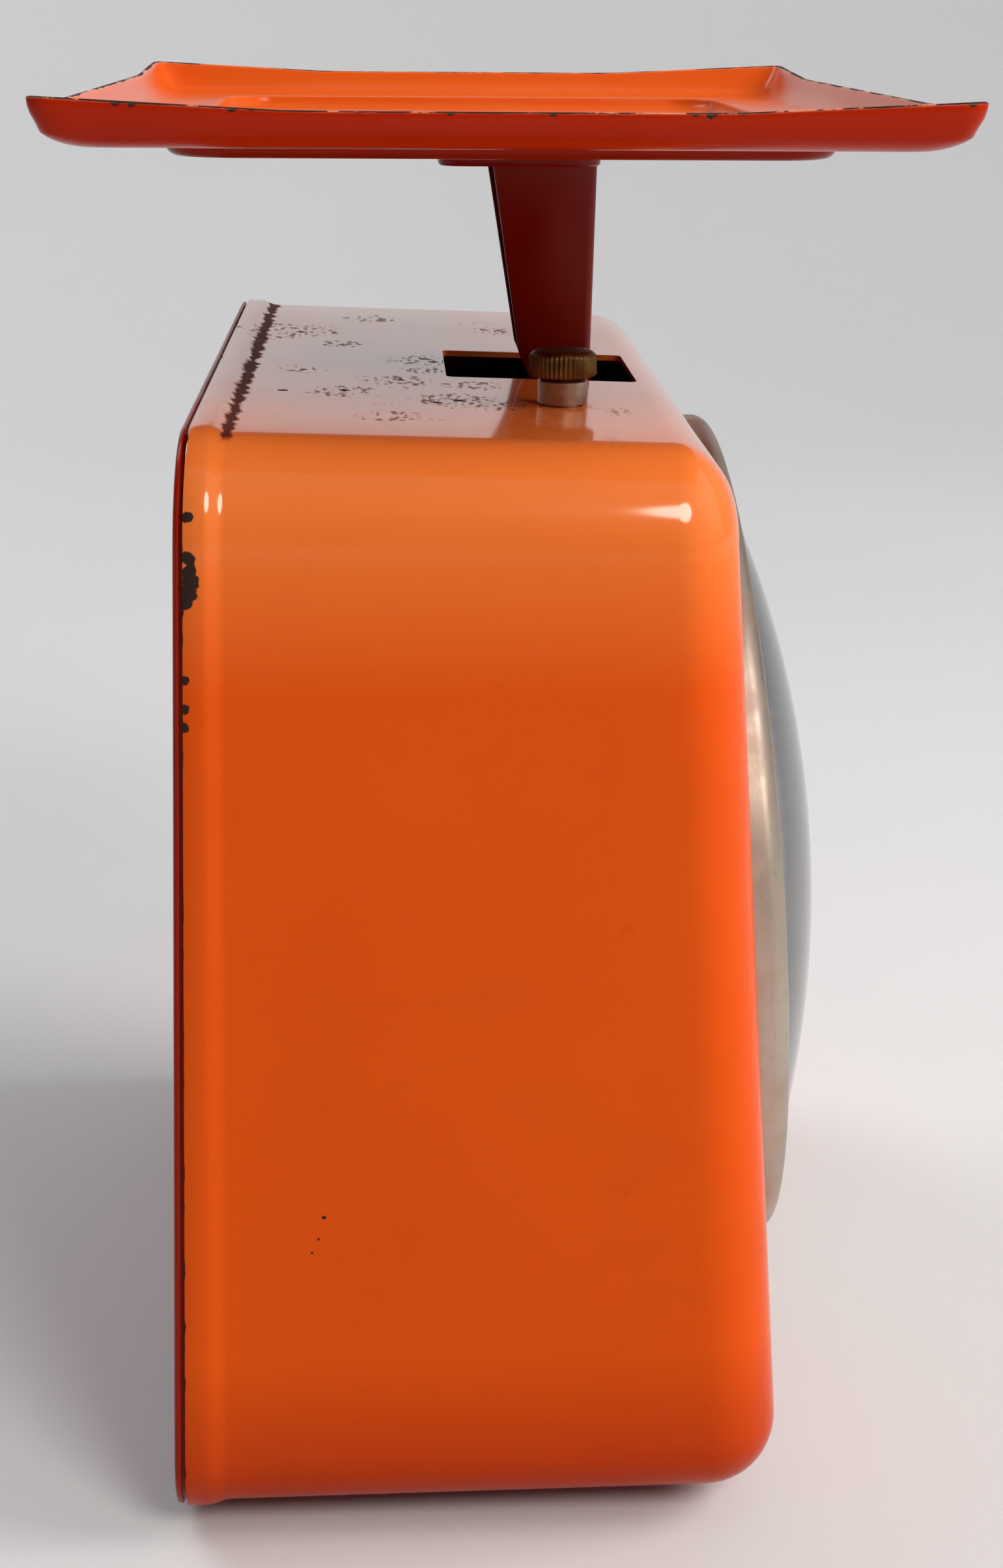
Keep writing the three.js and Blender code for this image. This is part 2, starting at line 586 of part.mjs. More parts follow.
// ---- column, tray support, cross bar and rack ----
const columnTop = FOOT_HEIGHT + trayFloor - GAP - SUPPORT_THICK - GAP;
const slotLevel = topAt(COLUMN_SLOT_BACK) + NECK_RISE;
const neckLevel = slotLevel - NECK_DROP;
const columnFoot = FOOT_HEIGHT + COLUMN_FOOT;
const barBottom = FOOT_HEIGHT + BAR_HEIGHT;

// One stretch of the column: the side's outline between two levels, its half width changing evenly.
function columnStretch(low, high, backs, halves, inset) {
  const side = new THREE.Shape();
  const web = COLUMN_FRONT + inset;
  const open = inset > 0 ? 40 : 0;
  side.moveTo(web, low);
  side.lineTo(backs[0] + open, low);
  side.lineTo(backs[1] + open, high);
  side.lineTo(web, high);
  const slab = new THREE.ExtrudeGeometry(side, { depth: 2, bevelEnabled: false });
  return solid(moveVertices(slab, (y, z, x) => {
    const share = (z - low) / (high - low);
    const half = halves[0] + (halves[1] - halves[0]) * share - inset;
    return [(x - 1) * half, y, z];
  }));
}

function columnBody() {
  const straight = [COLUMN_SLOT_HALF, COLUMN_SLOT_HALF];
  const levels = [
    [columnFoot, neckLevel, [COLUMN_NECK_BACK, COLUMN_NECK_BACK], straight],
    [neckLevel, slotLevel, [COLUMN_NECK_BACK, COLUMN_SLOT_BACK], straight],
    [slotLevel, columnTop, [COLUMN_SLOT_BACK, COLUMN_TOP_BACK], [COLUMN_SLOT_HALF, COLUMN_TOP_HALF]],
  ];
  const outer = join(...levels.map((level) => columnStretch(...level, 0)));
  const inner = join(...levels.map((level) => columnStretch(...level, PLATE)));
  let column = cut(outer, inner);
  for (const height of Object.values(pinHeights)) {
    column = cut(column, rodX(PIN_RADIUS + GAP, -40, 40, PIN_Y, height));
  }
  const barY = [PIN_Y - BAR_THICK / 2 - GAP, PIN_Y + BAR_THICK / 2 + GAP];
  column = cut(column, box(-40, 40, ...barY, barBottom - GAP, barBottom + BAR_DEEP + GAP));
  for (const z of rackScrews) column = cut(column, rodY(FASTENER + GAP, -40, COLUMN_FRONT + 9, rackScrewX, z));
  return column;
}

function supportPlate() {
  const outline = roundedOutline(-SUPPORT_HALF, SUPPORT_HALF, COLUMN_FRONT, SUPPORT_BACK, 5);
  const under = columnTop + GAP;
  const plate = solid(extrude(outline, SUPPORT_THICK).translate(0, 0, under));
  const hollow = roundedOutline(-SUPPORT_HALF + PLATE, SUPPORT_HALF - PLATE, COLUMN_FRONT + PLATE, SUPPORT_BACK - PLATE, 3.5);
  return cut(plate, solid(extrude(hollow, SUPPORT_THICK).translate(0, 0, under - PLATE)));
}

function crossBar() {
  const outline = roundedOutline(-SPRING_X - 7, SPRING_X + 7, barBottom, barBottom + BAR_DEEP, 2.5);
  const bar = extrude(outline, BAR_THICK).rotateX(Math.PI / 2).translate(0, PIN_Y + BAR_THICK / 2, 0);
  const ends = [-1, 1].map((side) => rodZ(4, barBottom, barBottom + BAR_DEEP, side * SPRING_X, SPRING_Y));
  return join(solid(bar), ...ends);
}

const rackPitch = Math.PI * MODULE;
const rackTeeth = Math.ceil(TRAVEL / rackPitch) + RACK_SPARE;
const rackLow = -4.5 * rackPitch;
const rackArm = [TRAVEL + 10, TRAVEL + 20]; // along the rack, where its arm leaves it
const rackScrewX = -2;
const rackArmZ = FOOT_HEIGHT + DIAL_HEIGHT + rackArm[0];
const rackScrews = [rackArmZ + 1, rackArmZ + 13];

function rackBody() {
  const pitchLine = pinionPitch;
  const depth = MODULE * 0.85;
  const slope = Math.tan(PRESSURE);
  const half = rackPitch / 4 - BACKLASH / 2;
  const back = pitchLine + MODULE * 1.2 + RACK_BACK;
  const valley = pitchLine + MODULE * 1.15;
  const outline = new THREE.Shape();
  outline.moveTo(back, rackLow);
  outline.lineTo(back, rackArm[1]);
  outline.lineTo(valley, rackArm[1]);
  for (let i = rackTeeth - 1; i >= 0; i -= 1) {
    const centre = (i - 4) * rackPitch;
    const wide = half + (valley - pitchLine) * slope;
    const narrow = half - depth * slope;
    outline.lineTo(valley, centre + wide);
    outline.lineTo(pitchLine - depth, centre + narrow);
    outline.lineTo(pitchLine - depth, centre - narrow);
    outline.lineTo(valley, centre - wide);
  }
  outline.lineTo(valley, rackLow);
  const bar = extrude(outline, RACK_FACE).rotateX(Math.PI / 2).translate(0, RACK_DEPTH + RACK_FACE, 0);
  const strip = solid(bar.applyMatrix4(dial.matrix));
  const seat = COLUMN_FRONT - GAP;
  const armFront = frontAt(DIAL_HEIGHT + rackArm[0]) + RACK_DEPTH + 1;
  const arm = box(valley + 0.4, valley + 2, armFront, seat, rackArmZ, rackArmZ + 7);
  const foot = box(-7, valley + 2, seat - PLATE, seat, rackArmZ - 3, rackArmZ + 17);
  const holes = rackScrews.map((z) => rodY(FASTENER + GAP, seat - 9, seat + 9, rackScrewX, z));
  return cut(join(strip, arm, foot), ...holes);
}

piece('tray_support', supportPlate(), enamel());
piece('column', columnBody(), enamel());
piece('cross_bar', crossBar(), steel());
piece('rack', rackBody(), brass());
rackScrews.forEach((z, i) => {
  const screw = piece(`rack_screw_${i + 1}`, panScrew(5, 2.6, 1.4), steel());
  screw.rotation.x = Math.PI / 2;
  screw.position.set(rackScrewX, COLUMN_FRONT - 2 * GAP - PLATE, z);
});

// ---- tray ----
function trayPan(outset, floorLift) {
  const half = [TRAY_WIDTH / 2 - outset, TRAY_LENGTH / 2 - outset];
  const rim = roundedOutline(-half[0], half[0], -half[1], half[1], TRAY_CORNER - outset);
  const deep = trayRim - trayLedge;
  const bowl = extrude(rim, 20, TRAY_FLARE - outset * 0.3, deep * 0.96, 3);
  const base = FOOT_HEIGHT + trayLedge + floorLift;
  bowl.translate(0, 0, base + deep * 0.96);
  const recessHalf = [RECESS_WIDTH / 2 - outset, RECESS_LENGTH / 2 - outset];
  const recess = roundedOutline(-recessHalf[0], recessHalf[0], -recessHalf[1], recessHalf[1], RECESS_CORNER - outset);
  const step = extrude(recess, 4, 2.2, 2.2, 2);
  step.translate(0, 0, FOOT_HEIGHT + trayFloor + floorLift + 2.2);
  return join(solid(bowl), solid(step));
}

// The rim climbs to each corner along both sides, and its corner is squarer than the ledge's.
function raiseEars(x, y, z) {
  const rim = FOOT_HEIGHT + trayRim;
  const share = THREE.MathUtils.clamp((z - FOOT_HEIGHT - trayLedge) / (trayRim - trayLedge), 0, 1);
  const [inX, inY] = [Math.abs(x) - TRAY_WIDTH / 2 + TRAY_CORNER, Math.abs(y) - TRAY_LENGTH / 2 + TRAY_CORNER];
  let [outX, outY] = [x, y];
  if (inX > 0 && inY > 0) {
    const turn = Math.atan2(inY, inX);
    const power = 2 + (TRAY_SQUARE - 2) * share;
    const grow = (Math.cos(turn) ** power + Math.sin(turn) ** power) ** (-1 / power) - 1;
    outX += Math.sign(x) * inX * grow;
    outY += Math.sign(y) * inY * grow;
  }
  const away = Math.hypot(TRAY_WIDTH / 2 - Math.abs(outX), TRAY_LENGTH / 2 - Math.abs(outY));
  const near = THREE.MathUtils.clamp(1 - away / TRAY_EAR_REACH, 0, 1);
  const lift = z > rim - 3 ? TRAY_EAR * near * share : 0;
  return [outX, outY, z + lift];
}

function trayBody() {
  const rim = FOOT_HEIGHT + trayRim;
  const above = box(-TRAY_WIDTH, TRAY_WIDTH, -TRAY_WIDTH, TRAY_WIDTH, rim, rim + 60);
  const pan = cut(cut(trayPan(0, 0), above), trayPan(SHEET, SHEET));
  return solid(moveVertices(toGeometry(pan.refineToLength(TRAY_FACET)), raiseEars));
}

piece('tray', trayBody(), enamel());

// ---- springs and zero adjuster ----
const hangerZ = chassisTop - HANGER_DROP;
const springLow = barBottom + BAR_DEEP + GAP;

function springTube() {
  const inner = SPRING_RADIUS - SPRING_WIRE;
  const high = hangerZ - GAP;
  const profile = [[inner, springLow], [SPRING_RADIUS, springLow], [SPRING_RADIUS, high], [inner, high]];
  return turnedZ([...profile, profile[0]], 14);
}

piece('spring_left', springTube(), steel()).position.set(-SPRING_X, SPRING_Y, 0);
piece('spring_right', springTube(), steel()).position.set(SPRING_X, SPRING_Y, 0);

const postProfile = [[0, hangerZ], [4.5, hangerZ], [4.5, hangerZ + 6], [SCREW_RADIUS, hangerZ + 6]];
postProfile.push([SCREW_RADIUS, chassisTop + GAP], [4.2, chassisTop + GAP], [4.2, chassisTop + 3], [0, chassisTop + 3]);
piece('spring_post', turnedZ(postProfile, 16), steel()).position.set(SPRING_X, SPRING_Y, 0);

const nutHalf = HANGER_BLOCK / 2 + 1;
const nut = box(-nutHalf, nutHalf, -nutHalf, nutHalf, hangerZ, hangerZ + HANGER_BLOCK);
const nutBored = cut(nut, rodZ(SCREW_RADIUS + GAP, hangerZ - 9, hangerZ + 40, 0, 0));
piece('hanger_nut', nutBored, brass()).position.set(-SPRING_X, SPRING_Y, 0);

const collarSeat = topAt(SPRING_Y) + GAP + COLLAR_RADIUS * FRONT_FALL / CASE_DEPTH;
const collarTop = collarSeat + COLLAR_HEIGHT;
const collarFoot = collarSeat - SHEET - 2 * GAP - 2;
const collarBore = SCREW_RADIUS + PLAY;
const collarProfile = [[collarBore, collarFoot], [collarShank, collarFoot], [collarShank, collarSeat]];
collarProfile.push([COLLAR_RADIUS, collarSeat], [COLLAR_RADIUS, collarTop], [collarBore, collarTop]);
collarProfile.push([collarBore, collarFoot]);
piece('zero_collar', turnedZ(collarProfile, 24), brass()).position.set(-SPRING_X, SPRING_Y, 0);

const knobLow = collarTop + KNOB_LIFT;
const knobTop = knobLow + KNOB_HEIGHT;
const knobBore = knobLow + KNOB_HEIGHT * 0.6;
const knobProfile = [[SCREW_RADIUS + GAP, knobLow], [KNOB_RADIUS, knobLow], [KNOB_RADIUS, knobTop - 0.9]];
knobProfile.push([KNOB_RADIUS - 1.1, knobTop], [0, knobTop + 0.3], [0, knobBore], [SCREW_RADIUS + GAP, knobBore]);
knobProfile.push([SCREW_RADIUS + GAP, knobLow]);
piece('zero_knob', turnedZ(knobProfile, 32), brass()).position.set(-SPRING_X, SPRING_Y, 0);
const screwLow = hangerZ - 6;
const zeroScrew = rodZ(SCREW_RADIUS, screwLow, knobBore - GAP, 0, 0);
piece('zero_screw', zeroScrew, steel()).position.set(-SPRING_X, SPRING_Y, 0);

export default scale;
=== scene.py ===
# %% [markdown]
# # Spring bench scale
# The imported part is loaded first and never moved. Every visible sheet is then rebuilt finer on the
# same sizes, rides on its body, and gets its finish. All shapes are drawn in millimetres in the
# part's own frame (+Z up, the dial towards -Y) and turned into metres when a piece is made.

# %% Load the part
import math
import json
import bpy
import bmesh
from mathutils import Vector, Matrix


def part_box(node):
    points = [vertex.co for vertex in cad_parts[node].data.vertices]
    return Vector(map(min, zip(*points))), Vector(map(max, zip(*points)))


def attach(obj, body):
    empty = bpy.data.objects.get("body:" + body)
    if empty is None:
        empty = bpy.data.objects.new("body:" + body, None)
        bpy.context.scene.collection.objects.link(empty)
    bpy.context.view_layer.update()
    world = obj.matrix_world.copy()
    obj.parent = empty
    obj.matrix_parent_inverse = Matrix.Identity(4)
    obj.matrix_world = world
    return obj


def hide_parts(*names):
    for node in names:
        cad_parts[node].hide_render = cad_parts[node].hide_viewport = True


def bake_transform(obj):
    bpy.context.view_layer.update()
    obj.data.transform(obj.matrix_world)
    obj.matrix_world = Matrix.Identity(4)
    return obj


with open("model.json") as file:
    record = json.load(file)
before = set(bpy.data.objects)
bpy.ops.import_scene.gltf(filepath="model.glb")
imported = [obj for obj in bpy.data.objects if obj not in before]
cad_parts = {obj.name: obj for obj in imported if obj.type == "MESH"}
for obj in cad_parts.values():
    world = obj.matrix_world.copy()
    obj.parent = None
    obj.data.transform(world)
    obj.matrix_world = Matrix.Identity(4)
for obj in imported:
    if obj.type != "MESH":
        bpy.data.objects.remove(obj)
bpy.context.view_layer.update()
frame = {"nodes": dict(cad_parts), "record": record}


def box_mm(node):
    """Lowest and highest corner of a part's node, in millimetres."""
    low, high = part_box(node)
    return low * 1000, high * 1000


def middle_mm(node):
    """The middle of a node's box, in millimetres."""
    return [(a + b) / 2 for a, b in zip(*box_mm(node))]


# %% [markdown]
# ## Camera
# The view is from the scale's left side, a little above the tray. `heading` turns towards the dial,
# `dip` looks down, `roll` tips the horizon.

# %% Camera
CAMERA_AT = (-0.51527, 0.01905, 0.2816)
LENS = 56.83                   # focal length in millimetres
heading, dip, roll = (math.radians(v) for v in (-2.5937, 17.5838, 0.4616))
forward = Vector((math.cos(dip) * math.cos(heading), math.cos(dip) * math.sin(heading), -math.sin(dip)))
level = Vector((math.sin(heading), -math.cos(heading), 0))
upward = level.cross(forward)
right = level * math.cos(roll) + upward * math.sin(roll)
up = upward * math.cos(roll) - level * math.sin(roll)
camera = bpy.data.objects.new("camera", bpy.data.cameras.new("camera"))
bpy.context.scene.collection.objects.link(camera)
turn = Matrix((right, up, -forward)).transposed().to_4x4()
camera.matrix_world = Matrix.Translation(CAMERA_AT) @ turn
camera.data.lens = LENS
camera.data.clip_start = 0.01
bpy.context.scene.camera = camera
print("camera at", [round(v, 3) for v in camera.location])

# %% [markdown]
# ## Sizes
# The same driving sizes as the part, in millimetres. Heights are above the case's underside.

# %% Sizes
FOOT = 4.0                     # table to the case's underside
HEIGHT, WIDTH, FRONT_WIDTH = 207.0, 217.5, 213.0
RISE, FALL = 0.5, 2.6          # underside climbs and top drops towards the front
BACK, BACK_LEAN = 59.5, 0.028  # y at the underside, and the lean forwards per mm of height
FRONT, FRONT_LEAN = -55.6, 0.0755
TOP_R, BOTTOM_R = 17.0, 15.5   # the upper and the lower corners seen from the front
FRONT_R, SIDE_R = 12.5, 15.0   # front rounding along the top, and round the sides and the bottom
SHEET, GAP = 1.2, 0.3          # the enamelled sheet, and the air between fitted pieces
BAND, FLARE, STEP_HALF = 6.1, 1.0, 2.2   # rear band, how far it stands out, half its step's length
COVER_GAP, COVER_SHEET = 0.8, 1.4
SLOT = (-19.5, 19.5, -30.0, 8.3)
DIAL, OPENING = 105.0, 75.0    # the dial's height, and the radius of the hole behind it
BEZEL_OUT, BEZEL_IN, BEZEL_PROUD = 89.0, 82.2, 6.8
BEZEL_SHEET, BEZEL_BACK = 0.9, 2.4
LENS_SAG, LENS_THICK, LENS_SPRING = 15.6, 1.5, 5.4
TRAY = (224.6, 153.0, 12.5)    # width, length, corner radius
RIM, LEDGE, FLOOR = 260.7, 254.5, 252.0
EAR, EAR_REACH = 2.1, 42.0     # climb of the rim at its corners, and how far along the rim it reaches
TRAY_FLARE, SQUARE = 8.0, 10.0  # the wall's slope outwards, and how square the rim's corners get
RECESS = (180.0, 115.0, 9.0)   # width, length, corner radius
BEND = 2.2                     # bend at the foot of the recess's step
WEB, TOP_BACK, SLOT_BACK, NECK_BACK = -21.3, -0.8, -6.6, -11.0
TOP_HALF, SLOT_HALF = 19.0, 10.0
COLUMN_FOOT, NECK_RISE, NECK_DROP, PLATE = 32.0, 4.0, 10.5, 1.5
SUPPORT = (30.0, 10.0, 4.5)    # half width, back edge, depth
SUPPORT_R = 5.0
SCREW_HOLE, COLLAR_HOLE, FOOT_HOLE = 1.8, 3.75, 2.8
HEAD_R, HEAD_HIGH, HEAD_SEAT, SHANK_R = 3.3, 1.65, 1.7, 1.5
DEPTH = BACK - FRONT

shell_low, shell_high = box_mm("case_shell")
print("case", [round(v, 1) for v in shell_high - shell_low], "mm")


def lean(x, height, depth):
    """A point of the straight case, (x, height, depth from the back), put where the leaning case has it."""
    share = depth / DEPTH
    back = BACK - BACK_LEAN * height
    front = FRONT + FRONT_LEAN * height
    z = FOOT + RISE * share + height * (1 - (RISE + FALL) * share / HEIGHT)
    return Vector((x * (1 + (FRONT_WIDTH / WIDTH - 1) * share), back + (front - back) * share, z))


def top_at(y):
    """Height of the case's sloping top above the table."""
    share = (BACK - BACK_LEAN * HEIGHT - y) / (BACK - FRONT - (BACK_LEAN + FRONT_LEAN) * HEIGHT)
    return FOOT + HEIGHT - FALL * share


dial_frame = Matrix.Translation((0, FRONT + FRONT_LEAN * DIAL, FOOT + DIAL)) @ Matrix.Rotation(
    -math.atan(FRONT_LEAN), 4, "X")

# %% [markdown]
# ## Tools for making pieces
# A ring is a closed loop of points. `loft` skins one ring to the next, `spun` turns a profile, and
# `add_piece` makes the object, carves its holes and puts it on a body.

# %% Shape tools
def quarter(steps):
    """The angles of a quarter turn in equal steps, from 0 to a right angle."""
    return [math.radians(90 * i / steps) for i in range(steps + 1)]


def rounded_ring(x0, x1, y0, y1, lower, upper, corner, side):
    """Points round a rectangle whose lower and upper corners have their own radius.

    It takes `corner` steps in each corner and `side` steps along each side."""
    arcs = [((x1 - lower, y0 + lower), lower, -90), ((x1 - upper, y1 - upper), upper, 0),
            ((x0 + upper, y1 - upper), upper, 90), ((x0 + lower, y0 + lower), lower, 180)]
    points = []
    for (cx, cy), radius, start in arcs:
        turns = [math.radians(start + 90 * i / corner) for i in range(corner + 1)]
        arc = [Vector((cx + radius * math.cos(t), cy + radius * math.sin(t))) for t in turns]
        if points:
            points += [points[-1].lerp(arc[0], i / side) for i in range(1, side)]
        points += arc
    points += [points[-1].lerp(points[0], i / side) for i in range(1, side)]
    return points


def loft(rings, closed=False):
    """One skin through all the rings, point to point.

    `closed` joins the last ring to the first; otherwise both ends get a cap."""
    mesh = bmesh.new()
    loops = [[mesh.verts.new(p) for p in ring] for ring in rings]
    pairs = list(zip(loops, loops[1:])) + ([(loops[-1], loops[0])] if closed else [])
    for first, second in pairs:
        for a, b, c, d in zip(first, first[1:] + first[:1], second[1:] + second[:1], second):
            mesh.faces.new((a, b, c, d))
    if not closed:
        mesh.faces.new(loops[0])
        mesh.faces.new(loops[-1])
    bmesh.ops.recalc_face_normals(mesh, faces=mesh.faces)
    return mesh


def spun(profile, steps, place=None):
    """A turned piece about Z: a profile of (radius, height) that closes on itself or on the axis."""
    mesh = bmesh.new()
    corners = [mesh.verts.new((r, 0, h)) for r, h in profile]
    edges = [mesh.edges.new(pair) for pair in zip(corners, corners[1:])]
    if profile[0][0] > 0.001 or profile[-1][0] > 0.001:
        edges.append(mesh.edges.new((corners[-1], corners[0])))
    bmesh.ops.spin(mesh, geom=corners + edges, cent=(0, 0, 0), axis=(0, 0, 1), angle=math.tau, steps=steps)
    bmesh.ops.remove_doubles(mesh, verts=mesh.verts, dist=0.0005)
    bmesh.ops.recalc_face_normals(mesh, faces=mesh.faces)
    if place is not None:
        bmesh.ops.transform(mesh, matrix=place, verts=mesh.verts)
    return mesh


def rod(radius, start, end):
    """A plain cylinder from one point to another, for holes."""
    start, end = Vector(start), Vector(end)
    mesh = bmesh.new()
    bmesh.ops.create_cone(mesh, cap_ends=True, segments=32, radius1=radius, radius2=radius,
                          depth=(end - start).length)
    spin = (end - start).to_track_quat("Z", "Y").to_matrix().to_4x4()
    bmesh.ops.transform(mesh, matrix=Matrix.Translation((start + end) / 2) @ spin, verts=mesh.verts)
    return mesh


def block(x0, x1, y0, y1, z0, z1, round_by=0.0):
    """A rectangular block whose upright edges may be rounded."""
    mesh = bmesh.new()
    bmesh.ops.create_cube(mesh, size=1)
    size = Matrix.Diagonal((x1 - x0, y1 - y0, z1 - z0, 1))
    middle = Matrix.Translation(((x0 + x1) / 2, (y0 + y1) / 2, (z0 + z1) / 2))
    bmesh.ops.transform(mesh, matrix=middle @ size, verts=mesh.verts)
    if round_by:
        upright = [e for e in mesh.edges if abs(e.verts[0].co.z - e.verts[1].co.z) > 0.001]
        bmesh.ops.bevel(mesh, geom=upright, offset=round_by, segments=5, profile=0.5, affect="EDGES",
                        material=-1)
    return mesh


def merged(*meshes):
    """Several bmeshes as one."""
    whole = bmesh.new()
    for mesh in meshes:
        data = bpy.data.meshes.new("part")
        mesh.to_mesh(data)
        whole.from_mesh(data)
        mesh.free()
        bpy.data.meshes.remove(data)
    return whole


def new_object(name, mesh):
    """An object from a bmesh drawn in millimetres."""
    bmesh.ops.scale(mesh, vec=(0.001, 0.001, 0.001), verts=mesh.verts)
    data = bpy.data.meshes.new(name)
    mesh.to_mesh(data)
    mesh.free()
    made = bpy.data.objects.new(name, data)
    bpy.context.scene.collection.objects.link(made)
    return made


def evaluated(made):
    """The object's mesh with its modifiers, or its curve, worked out."""
    return bpy.data.meshes.new_from_object(made.evaluated_get(bpy.context.evaluated_depsgraph_get()))


def from_curve(curve):
    """A curve or a line of lettering as a bmesh."""
    carrier = bpy.data.objects.new("carrier", curve)
    bpy.context.scene.collection.objects.link(carrier)
    mesh = bmesh.new()
    mesh.from_mesh(evaluated(carrier))
    bpy.data.objects.remove(carrier)
    return mesh


def carve(made, cutter):
    """Cuts one bmesh out of an object, and leaves no modifier behind."""
    tool = new_object("cutter", cutter)
    change = made.modifiers.new("cut", "BOOLEAN")
    change.operation = "DIFFERENCE"
    change.solver = "EXACT"
    change.object = tool
    result = evaluated(made)
    made.modifiers.clear()
    made.data = result
    bpy.data.objects.remove(tool)


def add_piece(name, mesh, body, material, stands_for=(), holes=(), smooth=35, soften=0.0):
    """Makes the object, carves its holes, softens its sharp edges, shades it and puts it on its body."""
    made = new_object(name, mesh)
    for hole in holes:
        carve(made, hole)
    if soften:
        change = made.modifiers.new("edges", "BEVEL")
        change.width = soften / 1000
        change.segments = 3
        change.angle_limit = math.radians(40)
        made.data = evaluated(made)
        made.modifiers.clear()
    made.data.name = name
    made.data.shade_smooth()
    made.data.set_sharp_from_angle(angle=math.radians(smooth))
    made.data.materials.clear()
    made.data.materials.append(material)
    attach(made, body)
    if stands_for:
        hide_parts(*stands_for)
    print(f"{name}: {len(made.data.polygons)} faces on {body}")
    return made


# %% [markdown]
# ## Materials
# Every material is built from nodes on Object coordinates, so a scale is a real size: `grain` takes
# the size of its spots in millimetres. Colours are written as screen colours and made linear once.

# %% Material tools
def linear(screen):
    """A screen colour such as 'd2491a' as linear red, green, blue, alpha."""
    parts = [int(screen[i:i + 2], 16) / 255 for i in (0, 2, 4)]
    return [p / 12.92 if p <= 0.04045 else ((p + 0.055) / 1.055) ** 2.4 for p in parts] + [1.0]


class Finish:
    """A material under construction: one Principled shader and the nodes that feed it."""

    def __init__(self, name, colour, roughness, metallic=0.0):
        self.material = bpy.data.materials.new(name)
        self.material.use_nodes = True
        self.tree = self.material.node_tree
        self.shader = self.tree.nodes["Principled BSDF"]
        self.base = linear(colour)
        self.colour = self.base
        self.roughness = roughness
        self.shader.inputs["Metallic"].default_value = metallic
        self.place = self.add("ShaderNodeTexCoord", {}).outputs["Object"]
        self.bump = None
        self.worn = None

    def feed(self, socket, value):
        """Gives an input a plain value or another node's output."""
        if isinstance(value, bpy.types.NodeSocket):
            self.tree.links.new(value, socket)
        else:
            socket.default_value = value

    def add(self, kind, inputs, **settings):
        """Adds a node with its settings and what feeds its inputs."""
        made = self.tree.nodes.new(kind)
        for key, value in settings.items():
            setattr(made, key, value)
        for key, value in inputs.items():
            self.feed(made.inputs[key], value)
        return made

    def maths(self, operation, first, second=0.0, third=0.0):
        made = self.add("ShaderNodeMath", {0: first, 1: second, 2: third}, operation=operation)
        return made.outputs[0]

    def grain(self, size_mm, detail=2.0, stretch=(1, 1, 1)):
        """Cloudy noise whose spots are about `size_mm` across; `stretch` lengthens them along an axis."""
        squeezed = [1 / s for s in stretch]
        place = self.add("ShaderNodeVectorMath", {0: self.place, 1: squeezed}, operation="MULTIPLY")
        inputs = {"Vector": place.outputs[0], "Scale": 1000 / size_mm, "Detail": detail}
        return self.add("ShaderNodeTexNoise", inputs).outputs["Fac"]

    def between(self, value, low, high, out_low=0.0, out_high=1.0):
        """Maps low..high on to out_low..out_high and stops at both ends."""
        inputs = {"Value": value, "From Min": low, "From Max": high, "To Min": out_low, "To Max": out_high}
        return self.add("ShaderNodeMapRange", inputs).outputs[0]

    def tint(self, mask, colour):
        """Mixes a colour in where the mask is 1: a screen colour, or the base colour times a factor each."""
        if isinstance(colour, tuple):
            colour = [part * factor for part, factor in zip(self.base, colour)] + [1.0]
        else:
            colour = linear(colour)
        mixed = self.add("ShaderNodeMix", {0: mask, 6: self.colour, 7: colour}, data_type="RGBA")
        self.colour = mixed.outputs[2]

    def rough(self, mask, roughness):
        """Moves the roughness towards a value where the mask is 1."""
        gap = self.maths("SUBTRACT", roughness, self.roughness)
        self.roughness = self.maths("MULTIPLY_ADD", gap, mask, self.roughness)

    def wear(self, mask, colour, roughness, share=1.0):
        """A worn place: its own colour and roughness, remembered so that no polish covers it."""
        mask = self.maths("MULTIPLY", mask, share)
        self.tint(mask, colour)
        self.rough(mask, roughness)
        self.worn = mask if self.worn is None else self.maths("MAXIMUM", self.worn, mask)

    def across(self, normal, offset):
        """Distance from a plane in millimetres."""
        along = self.add("ShaderNodeVectorMath", {0: self.place, 1: normal}, operation="DOT_PRODUCT")
        return self.maths("MULTIPLY_ADD", along.outputs["Value"], 1000.0, -offset)

    def emboss(self, height, depth_mm):
        """Raises the surface by depth_mm where height is 1."""
        inputs = {"Height": height, "Distance": depth_mm / 1000, "Strength": 1.0}
        if self.bump is not None:
            inputs["Normal"] = self.bump
        self.bump = self.add("ShaderNodeBump", inputs).outputs["Normal"]

    def spots(self, places, ragged=0.5):
        """A mask of small ragged marks: each is (x, y, z, radius) in millimetres."""
        shake = self.maths("MULTIPLY", self.maths("SUBTRACT", self.grain(1.4, 3), 0.5), ragged * 2)
        total = None
        for x, y, z, radius in places:
            away = self.add("ShaderNodeVectorMath", {0: self.place, 1: (x / 1000, y / 1000, z / 1000)},
                            operation="DISTANCE").outputs["Value"]
            inside = self.maths("MULTIPLY_ADD", away, -1000.0 / radius, 1.0)
            total = inside if total is None else self.maths("MAXIMUM", total, inside)
        return self.between(self.maths("ADD", total, shake), 0.0, 0.12)

    def height(self):
        """Height above the table in millimetres."""
        split = self.add("ShaderNodeSeparateXYZ", {0: self.place})
        return self.maths("MULTIPLY", split.outputs["Z"], 1000.0)

    def done(self):
        """Feeds the shader and hands the material over."""
        self.feed(self.shader.inputs["Base Color"], self.colour)
        self.feed(self.shader.inputs["Roughness"], self.roughness)
        if self.bump is not None:
            self.feed(self.shader.inputs["Normal"], self.bump)
        return self.material


# %% Enamel
CHIPPED = ("33241f", 0.62)     # bare dark metal: its colour and roughness


